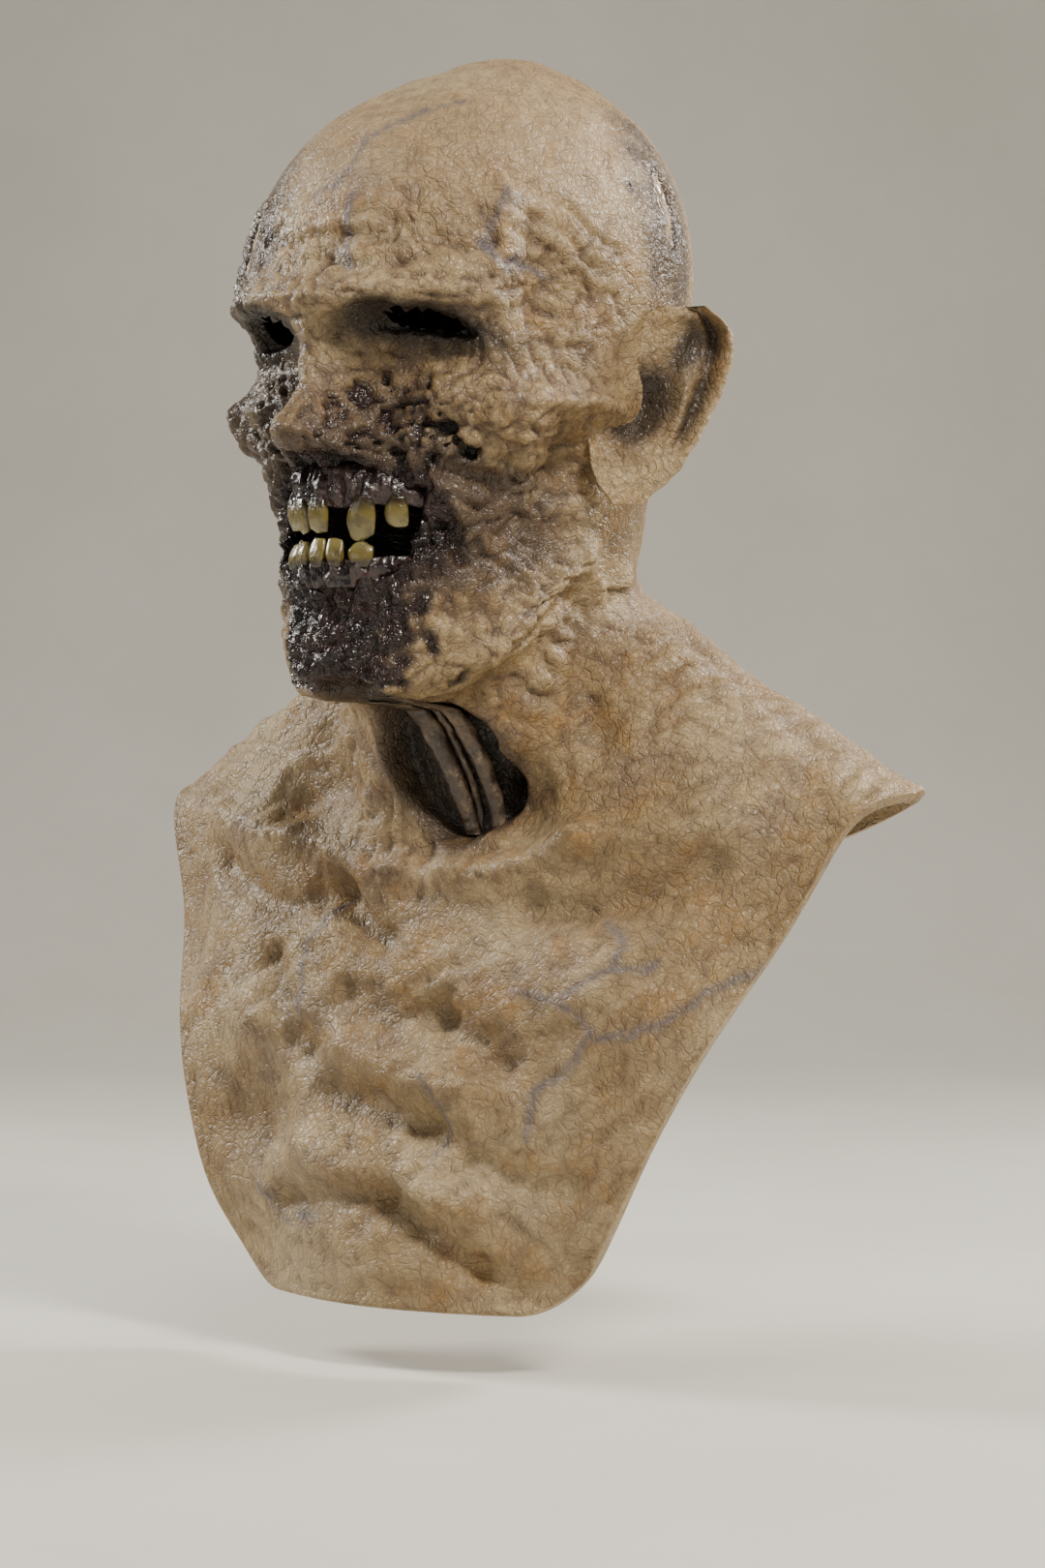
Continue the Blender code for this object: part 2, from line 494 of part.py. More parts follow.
def cut(target, cutter, mode="DIFFERENCE"):
    cutter.hide_render = True
    cutter.display_type = "WIRE"
    step = target.modifiers.new(cutter.name, "BOOLEAN")
    step.operation = mode
    step.solver = "EXACT"
    step.object = cutter


# Height and depth of the mouth's front: it follows the bow of the jaw.
def mouth_bow(x):
    q = shaped(0.0, mouth_ring())
    half = MOUTH_WIDTH / 2
    return q[1] + MOUTH_BOW * MOUTH_WIDTH * (x / half) ** 2


def mouth_ring():
    drops = CROWN_HEIGHT - RINGS[:, 0]
    return float(np.interp(MOUTH_PLACE * HEAD_HEIGHT, drops[:22], np.arange(22)))


def mouth_z():
    return CROWN_HEIGHT - MOUTH_PLACE * HEAD_HEIGHT


# Half height of the torn mouth at a place across it, and a ragged share along its edge.
def mouth_edge(share):
    round_edge = np.sqrt(np.clip(1 - np.abs(share) ** MOUTH_SQUARE, 0, 1))
    return MOUTH_HEIGHT / 2 * round_edge * (1 + RAG_DEPTH * np.cos(share * RAG_COUNT))


def mouth_block(name, low, high, front, back, inset, taper, material, steps=18, rows=5):
    share = np.linspace(-1, 1, steps + 1) * MOUTH_SPAN
    x = share * (MOUTH_WIDTH / 2 - inset)
    edge = np.maximum(mouth_edge(share) - inset, 0.0008)
    v = np.linspace(0, 1, rows)[:, None]
    z = mouth_z() + low(x, edge) * (1 - v) + high(x, edge) * v
    y = mouth_bow(x)[None, :] + 0 * z
    puff = np.sin(math.pi * v) * GUM_PUFF * GUM_THICKNESS
    face = np.stack([x + 0 * z, y + front - puff, z], -1)
    rear = np.stack([(x + 0 * z) * taper, y + back, z], -1)
    return closed_sheet(name, face, rear, material)


def tooth(name, place, width, length, setback, up, material):
    x0 = place * MOUTH_WIDTH / 2
    half_w = width * MOUTH_WIDTH / 2
    tall = length * TOOTH_LENGTH
    slope = 2 * MOUTH_BOW * MOUTH_WIDTH * place / (MOUTH_WIDTH / 2)
    turn = math.atan(slope)
    start = GUM_LINE_UP if up > 0 else GUM_LINE_DOWN
    z_root = mouth_z() + start * MOUTH_HEIGHT - up * FIT_GAP
    rows, around = 5, 12
    points, faces = [], []
    # width and depth of the tooth from root to tip
    shape = [(0.78, 0.85), (0.95, 1.0), (1.0, 0.95), (0.92, 0.70), (0.70, 0.38)]
    for r, (wide, deep) in enumerate(shape):
        z = z_root - up * tall * r / (rows - 1)
        for a in range(around):
            t = 2 * math.pi * a / around
            px = half_w * wide * math.copysign(abs(math.cos(t)) ** 0.7, math.cos(t))
            py = TOOTH_THICKNESS / 2 * deep * math.copysign(abs(math.sin(t)) ** 0.7, math.sin(t))
            y = float(mouth_bow(x0)) + GUM_THICKNESS * (TOOTH_SEAT + setback)
            points.append((x0 + px * math.cos(turn) - py * math.sin(turn),
                           y + px * math.sin(turn) + py * math.cos(turn), z))
    for r in range(rows - 1):
        for a in range(around):
            b = (a + 1) % around
            faces.append((r * around + a, r * around + b, (r + 1) * around + b, (r + 1) * around + a))
    faces.append(tuple(range(around)))
    faces.append(tuple(range((rows - 1) * around, rows * around)))
    return make_mesh(name, points, faces, material)


# A bent round cord that lies in the throat pocket.
def throat_cord(name, top_share, foot_share, thick, material):
    x_mid, z_mid = throat_middle()
    rows, around = 9, 10
    points, faces = [], []
    radius = CORD_THICKNESS * thick / 2
    for r in range(rows):
        t = r / (rows - 1)
        z = z_mid + (0.5 - t) * THROAT_HEIGHT * CORD_RUN
        x = x_mid + (top_share + (foot_share - top_share) * t) * THROAT_WIDTH
        y = float(throat_floor(x, z)) - radius * 1.8 - FIT_GAP
        for a in range(around):
            s = 2 * math.pi * a / around
            points.append((x + radius * math.cos(s), y + radius * math.sin(s) * 0.9, z))
    for r in range(rows - 1):
        for a in range(around):
            b = (a + 1) % around
            faces.append((r * around + a, r * around + b, (r + 1) * around + b, (r + 1) * around + a))
    faces.append(tuple(range(around)))
    faces.append(tuple(range((rows - 1) * around, rows * around)))
    return make_mesh(name, points, faces, material)


# Depth of the throat pocket's back wall: the neck's front, set back by the pocket's depth.
def throat_front(x, z):
    drops = RINGS[:, 0]
    ring = np.interp(-z, -drops[19:29], np.arange(19, 29))
    width = np.interp(ring, np.arange(len(RINGS)), RINGS[:, 3])
    mid = np.interp(ring, np.arange(len(RINGS)), RINGS[:, 4])
    near = np.interp(ring, np.arange(len(RINGS)), RINGS[:, 5])
    return mid - (mid - near) * np.sqrt(np.clip(1 - (x / width) ** 2, 0.05, 1))


def throat_floor(x, z):
    x_mid, z_mid = throat_middle()
    disc_y = (z - z_mid) / (THROAT_HEIGHT / 2)
    disc_x = (x - x_mid) / (THROAT_WIDTH / 2) + disc_y * THROAT_SLANT
    return throat_front(x, z) + THROAT_DEPTH * (1 - 0.5 * (disc_x ** 2 + disc_y ** 2))


def throat_cutter(material):
    a = np.linspace(-1, 1, 11)
    across, down = np.meshgrid(a, a)
    disc_x = across * np.sqrt(1 - down ** 2 / 2)
    disc_y = down * np.sqrt(1 - across ** 2 / 2)
    x_mid, z_mid = throat_middle()
    x = x_mid + (disc_x - disc_y * THROAT_SLANT) * THROAT_WIDTH / 2
    z = z_mid + disc_y * THROAT_HEIGHT / 2
    rear = np.stack([x, throat_floor(x, z), z], -1)
    face = np.stack([x, throat_front(x, z) - CUTTER_REACH * HEAD_LENGTH, z], -1)
    return closed_sheet("throat_cutter", face, rear, material)


def gum_foot(x, line):
    return line * MOUTH_HEIGHT + 0 * x


def eye_cutter(name, side, material):
    a = np.linspace(-1, 1, 13)
    half_w = EYE_OPENING_WIDTH / 2
    lens = EYE_OPENING_HEIGHT / 2 * np.sqrt(np.clip(1 - np.abs(a) ** 2.4, 0.004, 1))
    x = side * (EYE_PLACE * HALF_WIDTH + a * half_w)
    mid = CROWN_HEIGHT - EYE_DROP * HEAD_HEIGHT - half_w * (EYE_SLOPE * a + EYE_SAG * a ** 2)
    v = np.linspace(0, 1, 4)[:, None]
    z = mid + lens * (2 * v - 1)
    face = np.stack([x + 0 * z, -HALF_LENGTH - CUTTER_REACH * HEAD_LENGTH + 0 * z, z], -1)
    rear = np.stack([x + 0 * z, -HALF_LENGTH * 0.25 + 0 * z, z], -1)
    return closed_sheet(name, face, rear, material)


def main():
    for thing in list(bpy.data.objects):
        bpy.data.objects.remove(thing, do_unlink=True)
    made = {}
    for name, (colour, rough) in MATERIALS.items():
        material = bpy.data.materials.new(name)
        material.use_nodes = True
        shader = material.node_tree.nodes["Principled BSDF"]
        shader.inputs["Base Color"].default_value = colour
        shader.inputs["Roughness"].default_value = rough
        shader.inputs["Metallic"].default_value = 0.0
        material.diffuse_color = colour
        made[name] = material
    skin = skin_shell(made["silicone_skin"])
    for name, side in (("ear_left", 1), ("ear_right", -1)):
        cut(skin, ear(name, side, made["silicone_skin"]), "UNION")

    for name, side in (("eye_cutter_left", 1), ("eye_cutter_right", -1)):
        cut(skin, eye_cutter(name, side, made["silicone_skin"]))
    cut(skin, mouth_block("mouth_cutter", lambda x, e: -e, lambda x, e: e, -CUTTER_REACH * HEAD_LENGTH,
                          MOUTH_HEIGHT / 2, 0.0, 1.0, made["silicone_skin"]))
    cut(skin, throat_cutter(made["silicone_skin"]))
    for name, deg, row in (("skull_strip_left", BONE_LEFT[0], BONE_LEFT[1]),
                           ("skull_strip_right", BONE_RIGHT[0], BONE_RIGHT[1])):
        wide = math.degrees(BONE_WIDTH / HALF_LENGTH) / 2
        tall = BONE_LENGTH / HEAD_HEIGHT * RINGS_PER_HEIGHT
        room = FIT_GAP / HALF_LENGTH
        skin_patch(name, deg, row, wide, tall, -WALL * BONE_TOP, -WALL * BONE_REAR, made["bare_bone"], 8)
        window = skin_patch(name + "_cutter", deg, row, wide * WINDOW_WIDE + math.degrees(room),
                            tall * WINDOW_TALL, WALL * 2, -WALL * BONE_REAR - FIT_GAP,
                            made["silicone_skin"], 10)
        cut(skin, window)

    mouth_block("upper_gum", lambda x, e: np.minimum(gum_foot(x, GUM_LINE_UP), e - 2 * FIT_GAP),
                lambda x, e: e, 0.0, GUM_THICKNESS, GUM_SEAT, GUM_TAPER, made["wet_gum"])
    mouth_block("lower_gum", lambda x, e: -e,
                lambda x, e: np.maximum(gum_foot(x, GUM_LINE_DOWN), -e + 2 * FIT_GAP),
                0.0, GUM_THICKNESS, GUM_SEAT, GUM_TAPER, made["wet_gum"])
    for name, place, width, length, setback in UPPER_TEETH:
        tooth(name, place, width, length, setback, 1, made["old_tooth"])
    for name, place, width, length, setback in LOWER_TEETH:
        tooth(name, place, width, length, setback, -1, made["old_tooth"])
    for name, top, foot, thick in THROAT_CORDS:
        throat_cord(name, top, foot, thick, made["dry_cord"])


main()
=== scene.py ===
import math

import bpy
import numpy as np
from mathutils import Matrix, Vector


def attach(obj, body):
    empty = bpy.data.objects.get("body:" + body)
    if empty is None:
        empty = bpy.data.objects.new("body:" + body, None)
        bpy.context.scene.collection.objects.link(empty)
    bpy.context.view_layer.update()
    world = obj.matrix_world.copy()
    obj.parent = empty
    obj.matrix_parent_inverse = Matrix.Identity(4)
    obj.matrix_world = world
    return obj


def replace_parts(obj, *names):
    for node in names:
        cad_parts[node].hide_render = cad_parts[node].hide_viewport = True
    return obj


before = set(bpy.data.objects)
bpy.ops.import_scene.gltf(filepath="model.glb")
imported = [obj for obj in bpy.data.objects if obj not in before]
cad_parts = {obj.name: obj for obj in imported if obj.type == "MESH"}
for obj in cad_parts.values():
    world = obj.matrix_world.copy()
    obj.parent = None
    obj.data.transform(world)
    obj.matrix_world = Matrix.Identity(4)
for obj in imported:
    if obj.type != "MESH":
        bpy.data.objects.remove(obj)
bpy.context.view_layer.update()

mm = 0.001

# One row per ring of the mask, in millimetres from the seat on the crown:
# name, front z, side z, back z, half width, side y, front y, back y, corner, sweep, straight cut;
# a row that leaves out the last three has 2, 2 and 0
ringRows = [
    ("pole", 4, 4, 4, 0, 27, 27, 27),
    ("top", 2, 2, 2, 13, 27, 11, 43),
    ("cap", -4, -4, -4, 26, 26, -7, 60),
    ("upper", -13, -13, -13, 41, 20, -32, 72),
    ("dome", -27, -26, -25, 57, 12, -59, 85),
    ("hair", -44, -42, -39, 68, 8, -77, 95, 2.05, 2, 0),
    ("forehead", -63, -60, -54, 75.5, 5, -88, 101, 2.10, 2, 0),
    ("frown", -82, -76, -66, 78.5, 4, -94, 103, 2.20, 2, 0),
    ("brow", -102, -91, -78, 79, 4, -97, 103, 2.30, 2, 0),
    ("eye", -118, -104, -90, 78, 5, -92, 100, 2.30, 2, 0),
    ("lid", -132, -116, -101, 76.5, 6, -90, 96, 2.35, 2, 0),
    ("cheek", -146, -128, -111, 75, 7, -90, 91, 2.30, 2.20, 0),
    ("nostril", -160, -140, -121, 73, 8, -91, 86, 2.20, 2.50, 0),
    ("lip", -174, -152, -131, 70.5, 9, -92, 81, 2.10, 2.80, 0),
    ("bite", -188, -163, -140, 68, 10, -92, 77, 2.05, 3.20, 0),
    ("underlip", -202, -173, -149, 66, 10, -92, 75, 2, 3.60, 0),
    ("chin_top", -216, -182, -157, 64, 11, -89, 73.5, 2, 3.90, 0),
    ("chin", -230, -190, -165, 62.5, 12, -90, 72.5, 2, 4.00, 0),
    ("jaw", -242, -197, -172, 61, 12, -88, 72, 2, 4.00, 0),
    ("jaw_edge", -249, -202, -178, 59, 13, -84, 72, 2, 4.00, 0),
    ("under", -251.5, -205, -182, 57.5, 14, -73, 72, 2, 4.00, 0),
    ("throat_top", -252, -207.5, -185.5, 57, 15, -64, 72.5, 2.30, 3.60, 0),
    ("throat", -254, -210, -189, 57.5, 16, -52, 73, 2.10, 3.00, 0),
    ("neck_upper", -261, -212.5, -192.5, 59, 17, -45, 74.5, 2, 2.60, 0),
    ("neck", -271, -215, -196.5, 61.5, 18.5, -41, 77, 2, 2.30, 0),
    ("neck_low", -282, -218, -201, 65, 20.5, -37, 80, 2, 2.10, 0),
    ("collar", -292, -221, -206, 70, 22.5, -33.5, 84),
    ("neck_base", -302, -224, -211, 77, 25, -31, 88),
    ("collarbone", -317.4, -233.6, -221.1, 89.8, 30.5, -32.4, 93, 2, 2, 0.12),
    ("upper_chest", -338.4, -245.6, -235.6, 108.5, 37, -40.2, 96.1, 2, 2, 0.32),
    ("chest", -368.9, -255.2, -253.6, 128.2, 42.5, -49.4, 97.9, 2, 2, 0.55),
    ("ribs", -405.4, -267.2, -274.8, 146.9, 45.6, -57.2, 98.8, 2, 2, 0.76),
    ("low_ribs", -443, -276.8, -298.4, 162.7, 47.8, -62.3, 98.3, 2, 2, 0.92),
    ("edge", -480.5, -284, -323, 175.5, 49, -65, 97, 2, 2, 1.00),
]
# Mounds and hollows: name, degrees from the front, ring, half width and half height,
# how far forward, outward and down they push, and their side
formRows = [
    ("nose_bridge", 0, 9.55, 9.9, 19.9, 14, 0, 0, "middle"),
    ("nose_tip", 0, 11.35, 13, 12.5, 25, 0, 0, "middle"),
    ("nose_wing", 11, 11.75, 7.9, 7.9, 7.9, 0, 0, "both"),
    ("nose_flank", 17.5, 10.55, 9.9, 15, -6.9, 0, 0, "both"),
    ("lip_hollow", 0, 12.85, 30.1, 8.9, -5.1, 0, 0, "middle"),
    ("brow", 24, 8.05, 28.1, 9.9, 9.9, 0, 1, "both"),
    ("frown", 0, 7.85, 16.1, 8.9, 5.1, 0, 0, "middle"),
    ("socket", 27, 9.65, 21.9, 16.1, -19.9, 0, 0, "both"),
    ("lid", 28, 10.2, 17.1, 9.9, 8.9, 0, 0, "both"),
    ("cheekbone", 55, 11.85, 18.1, 13, 7.9, 7.9, 0, "both"),
    ("cheek_hollow", 64, 15.15, 19.9, 21.9, 0, -8.9, 0, "both"),
    ("temple", 62, 8.3, 18.1, 24, 0, -7.9, 0, "both"),
    ("chin", 0, 17.65, 26, 16.1, 6.1, 0, 0, "middle"),
    ("under_arch", 73, 13.45, 13, 14, 0, -8.9, 0, "both"),
    ("collar_hollow", 29.5, 27.25, 12, 16.1, 0, -13, 0, "left"),
    ("far_collar_hollow", 43.5, 28.35, 19.9, 13, 0, -9.9, 0, "right"),
    ("notch", 2, 27.65, 13, 9.9, 0, -7.9, 0, "middle"),
    ("side_hollow", 27.5, 31.55, 21.9, 18.1, 0, -9.9, 0, "right"),
    ("breast_right", 29.5, 30.6, 24, 14, 0, 6.1, 0, "right"),
    ("breast_left", 34.5, 30.75, 33.9, 18.1, 0, 6.1, 0, "left"),
    ("belly", 7, 32.45, 40, 14, 0, 3.1, 0, "left"),
    ("shoulder_front", 57, 33, 36, 45.9, -12, 0, 0, "both"),
    ("rim_corner", 25.5, 33, 42.1, 28.1, -12, 0, 0, "both"),
]
# Folds and grooves: name, degrees and ring of both ends, half width, rise and side
foldRows = [
    ("cheek_arch", 50, 11, 82.5, 11.95, 6.1, 6.1, "both"),
    ("jaw_line", 51, 19, 78.5, 17.35, 6.9, 6.1, "both"),
    ("temple_line", 51, 6.05, 49, 8.3, 5.1, 3.6, "both"),
    ("brow_crease", -22, 6.85, 25.5, 6.75, 3.6, -1.5, "middle"),
    ("brow_crease_low", -19, 7.35, 22, 7.35, 3.6, -1.5, "middle"),
    ("eye_rim", 13.5, 10.55, 41.5, 10.95, 5.1, 3.1, "both"),
    ("cheek_fold", 20.5, 12.1, 44.5, 15.15, 6.1, -4.1, "both"),
    ("cheek_slit", 38.5, 12.85, 52, 13.55, 4.1, -5.1, "left"),
    ("neck_muscle", 96, 20.1, 9.5, 27.8, 7.9, 5.6, "left"),
    ("neck_muscle_far", 96, 20.1, 6.5, 27.75, 7.9, 4.1, "right"),
    ("neck_dent", 73, 21.75, 52, 27.75, 7.9, -5.1, "both"),
    ("collar_bone", 4, 27.95, 40, 29, 7.4, 7.9, "both"),
    ("collar_bone_end", 40, 29, 59, 30.9, 7.9, 6.1, "both"),
    ("below_collar", 28.5, 29.25, 53.5, 31, 6.9, -6.4, "both"),
    ("breast_line", 47, 29.05, 23, 28.75, 7.9, -7.9, "right"),
    ("breast_line_low", 23, 28.75, 7, 29.15, 7.9, -7.9, "right"),
    ("rib_groove_1a", -11.5, 29.95, 9, 30.05, 7.9, -5.1, "middle"),
    ("rib_groove_1b", 9, 30.05, 21.5, 30.65, 7.9, -5.1, "middle"),
    ("rib_groove_1c", 32, 30.25, 18.5, 30.55, 7.9, -6.1, "right"),
    ("rib_ridge_1", -8.5, 30.45, 15, 30.85, 7.9, 5.1, "middle"),
    ("rib_groove_2a", -11, 30.85, 8, 31.15, 7.4, -5.6, "middle"),
    ("rib_groove_2b", 8, 31.15, 29, 32.1, 7.4, -5.6, "middle"),
    ("rib_ridge_2", -15, 31.55, 14.5, 31.95, 7.9, 6.1, "middle"),
    ("rib_groove_3a", -18, 32.05, 1.5, 31.85, 6.9, -6.1, "middle"),
    ("rib_groove_3b", 1.5, 31.85, 14.5, 32.5, 6.9, -6.9, "middle"),
    ("rib_groove_3c", 14.5, 32.5, 28, 33, 6.9, -5.1, "middle"),
    ("nape_fold", 103, 27.2, 81.5, 30.45, 6.9, -3.1, "both"),
]
rings = np.array([row[1:] + (2, 2, 0)[len(row) - 8:] for row in ringRows])
lastRing = len(rings) - 1

# Skin: how finely it is divided, its wall in millimetres, the depth of its leather grain, how coarse
# the inner face is, how far the front edge stays straight before it falls, and how soft its bends are.
maskSkin = {
    "columns": 300, "frontColumns": 212, "frontAngle": 86.0, "rows": 300,
    "wall": 4.5, "leather": 0.38, "innerStep": 3, "innerSkip": 2,
    "cutStart": 0.97, "cutRun": 0.5, "cornerSoft": 0.3, "tipSoft": 0.1,
    "hollowSpread": 1.15, "moundShare": 0.8, "grooveSpread": 2.2, "ridgeShare": 0.3,
}


def say(words):
    print("mask:", words)


# Blend of two numbers that leaves and arrives without slope.
def ease(value, low, high):
    t = np.clip((value - low) / (high - low), 0, 1)
    return t * t * (3 - 2 * t)


# In between: rises from the first value to the second, falls from the third to the fourth.
def window(value, low, full, fade, high):
    return ease(value, low, full) * (1 - ease(value, fade, high))


# Bell over two numbers: it falls with the square of the distance from its middle.
def bell(a, midA, halfA, b, midB, halfB):
    return np.exp(-((a - midA) / halfA) ** 2 - ((b - midB) / halfB) ** 2)


# Smaller of two numbers, with the corner between them rounded over a width.
def softMin(a, b, width):
    h = np.clip(0.5 + 0.5 * (b - a) / width, 0, 1)
    return b + (a - b) * h - width * h * (1 - h)


# Noise: random slopes on a grid of unit cells, blended with a fifth-power ease; about -1 to 1.
def bumpNoise(points, size, seed=0):
    p = np.asarray(points) / size + 57.3 + seed * 3.71
    cell = np.floor(p).astype(np.int64)
    f = p - cell
    w = f ** 3 * (f * (f * 6 - 15) + 10)
    total = np.zeros(p.shape[:-1])
    for corner in range(8):
        step = np.array([corner & 1, corner >> 1 & 1, corner >> 2 & 1])
        c = cell + step
        key = (c[..., 0] * 73856093 ^ c[..., 1] * 19349663 ^ c[..., 2] * 83492791 ^ (seed * 2654435 + 17))
        key = (key ^ (key >> 13)) * 1274126177 & 0x7FFFFFFF
        key = (key ^ (key >> 15)) & 0xFFFFFF
        turn, tilt = (key & 4095) / 4096 * 2 * np.pi, (key >> 12) / 4096 * 2 - 1
        flat = np.sqrt(1 - tilt ** 2)
        d = f - step
        slope = d[..., 0] * flat * np.cos(turn) + d[..., 1] * flat * np.sin(turn) + d[..., 2] * tilt
        share = np.prod(np.where(step == 1, w, 1 - w), -1)
        total += share * slope
    return total * 1.6


# Creases: one where the noise crosses nothing, falling to nothing away from there.
def creaseNoise(points, size, seed=0):
    return 1 - np.clip(np.abs(bumpNoise(points, size, seed)) * 2.6, 0, 1)


# The plain form: each ring is a rounded oval whose height runs from its side to its front or back,
# and a ring between two rows is their smooth blend.
def plainForm(angle, ring):
    angle, ring = np.broadcast_arrays(np.asarray(angle, float), np.asarray(ring, float))
    ring = np.clip(ring, 0, lastRing)
    low = np.minimum(ring.astype(int), lastRing - 1)
    t = (ring - low)[..., None]
    p0, p1, p2, p3 = (rings[np.clip(low + k, 0, lastRing)] for k in (-1, 0, 1, 2))
    row = 0.5 * (2 * p1 + (p2 - p0) * t + (2 * p0 - 5 * p1 + 4 * p2 - p3) * t ** 2
                 + (3 * p1 - p0 - 3 * p2 + p3) * t ** 3)
    frontZ, sideZ, backZ, width, mid, near, far, corner, sweep, straight = np.moveaxis(row, -1, 0)
    across, along = np.sin(angle), np.cos(angle)
    front = along > 0
    corner, sweep = np.where(front, corner, 2.0), np.where(front, sweep, 2.0)
    reach = (np.abs(across) ** corner + np.abs(along) ** corner) ** (1 / corner)
    share = 1 - np.abs(across) ** sweep
    line = softMin((maskSkin["cutStart"] - np.abs(across)) / maskSkin["cutRun"], np.ones_like(share),
                   maskSkin["cornerSoft"])
    line = -softMin(-line, np.zeros_like(share), maskSkin["tipSoft"])
    share = share + (np.where(front, line, share) - share) * straight
    z = sideZ + np.where(front, frontZ - sideZ, backZ - sideZ) * share
    y = mid - np.where(front, mid - near, far - mid) * along / reach
    return np.stack([width * across / reach, y, z], -1)


# Outward direction of a grid of points that runs round the mask and down it.
def gridNormals(points):
    around = np.roll(points, -1, 1) - np.roll(points, 1, 1)
    down = np.gradient(points, axis=0)
    n = np.cross(down, around)
    return n / np.maximum(np.linalg.norm(n, axis=-1, keepdims=True), 1e-9)


def sidesOf(word):
    return {"both": (1, -1), "right": (-1,)}.get(word, (1,))


# Square of the distance from each point to the nearest point of a line.
def nearSquare(p, line):
    near = np.full(p.shape[:-1], 1e9)
    for q in line:
        near = np.minimum(near, ((p - q) ** 2).sum(-1))
    return near


# Points along a fold, on one side of the plain form.
def foldLine(degA, rowA, degB, rowB, side, count):
    s = np.linspace(0, 1, count)
    return plainForm(np.radians(side * (degA + (degB - degA) * s)), rowA + (rowB - rowA) * s)


# Weight of a mound: 1 in its middle on the plain form.
def moundWeight(p, deg, row, halfW, halfH):
    q = plainForm(math.radians(deg), row)
    flat = ((p[..., 0] - q[0]) ** 2 + (p[..., 1] - q[1]) ** 2) / halfW ** 2
    return np.exp(-flat - ((p[..., 2] - q[2]) / halfH) ** 2)


# The modelled form: mounds and hollows fade with the square of the distance from their middles,
# folds with the square of the distance from their lines.
def modelledForm(angle, ring, inner=False):
    p = plainForm(angle, ring)
    n = gridNormals(p)
    move = np.zeros_like(p)
    for _, deg, row, halfW, halfH, forward, out, down, word in formRows:
        spread = maskSkin["hollowSpread"] if inner and forward + out < 0 else 1.0
        if inner and forward + out > 0:
            forward, out = forward * maskSkin["moundShare"], out * maskSkin["moundShare"]
        for side in sidesOf(word):
            w = moundWeight(p, side * deg, row, halfW * spread, halfH * spread)[..., None]
            move += w * (n * out + np.array([0.0, -forward, -down]))
    for _, degA, rowA, degB, rowB, halfW, rise, word in foldRows:
        if inner:
            wide, low = halfW * maskSkin["grooveSpread"], rise * maskSkin["ridgeShare"]
            halfW, rise = (wide, rise) if rise < 0 else (halfW, low)
        for side in sidesOf(word):
            near = nearSquare(p, foldLine(degA, rowA, degB, rowB, side, 14))
            move += (np.exp(-near / halfW ** 2)[..., None]) * n * rise
    return p + move


# Columns stand closer on the front, rows closer on the face.
def columnAngles(columns, frontColumns, frontAngle):
    fine = np.linspace(-frontAngle, frontAngle, frontColumns + 1)
    rest = np.linspace(frontAngle, 360 - frontAngle, columns - frontColumns + 1)[1:-1]
    return np.radians(np.concatenate([fine, rest]))


def rowRings(count):
    places, shares = [0.25, 3, 6.3, 19.3, 27, lastRing], [0, 0.05, 0.13, 0.63, 0.73, 1]
    return np.interp(np.linspace(0, 1, count), shares, places)


# A mesh from a grid of points; wrap joins the last column to the first.
def gridMesh(name, points, wrap=False, flip=False, keep=None, marks=None, pole=None):
    rows, columns = points.shape[:2]
    index = np.arange(rows * columns).reshape(rows, columns)
    if wrap:
        index = np.concatenate([index, index[:, :1]], 1)
    quads = np.stack([index[:-1, :-1], index[1:, :-1], index[1:, 1:], index[:-1, 1:]], -1).reshape(-1, 4)
    if keep is not None:
        quads = quads[keep.reshape(-1)[quads].all(1)]
    flatPoints = points.reshape(-1, 3)
    loops, sizes = quads.reshape(-1), np.full(len(quads), 4)
    if pole is not None:
        tip = len(flatPoints)
        flatPoints = np.concatenate([flatPoints, np.asarray(pole, float)[None]])
        fan = np.stack([np.full(columns, tip), index[0, :-1], index[0, 1:]], -1)
        loops = np.concatenate([loops, fan.reshape(-1)])
        sizes = np.concatenate([sizes, np.full(columns, 3)])
    mesh = bpy.data.meshes.new(name)
    used = np.zeros(len(flatPoints), bool)
    used[loops] = True
    remap = np.cumsum(used) - 1
    mesh.vertices.add(int(used.sum()))
    mesh.vertices.foreach_set("co", (flatPoints[used] * mm).astype(np.float32).ravel())
    mesh.loops.add(len(loops))
    mesh.loops.foreach_set("vertex_index", remap[loops].astype(np.int32))
    starts = np.concatenate([[0], np.cumsum(sizes)[:-1]])
    mesh.polygons.add(len(sizes))
    mesh.polygons.foreach_set("loop_start", starts.astype(np.int32))
    mesh.update(calc_edges=True)
    mesh.validate()
    for key, values in (marks or {}).items():
        values = values.reshape(-1)
        if pole is not None:
            values = np.append(values, values[:columns].mean())
        layer = mesh.attributes.new(key, "FLOAT", "POINT")
        layer.data.foreach_set("value", values[used].astype(np.float32))
    if flip:
        mesh.flip_normals()
    mesh.polygons.foreach_set("use_smooth", np.full(len(mesh.polygons), True))
    piece = bpy.data.objects.new(name, mesh)
    bpy.context.scene.collection.objects.link(piece)
    return piece


# Both ends of a tube of points are drawn together in their middles.
def closeEnds(points):
    first = points[:1].mean(1, keepdims=True) + 0 * points[:1]
    last = points[-1:].mean(1, keepdims=True) + 0 * points[-1:]
    return np.concatenate([first, points, last])


def finishPiece(piece, material):
    piece.data.materials.append(material)
    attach(piece, "root")
    return piece


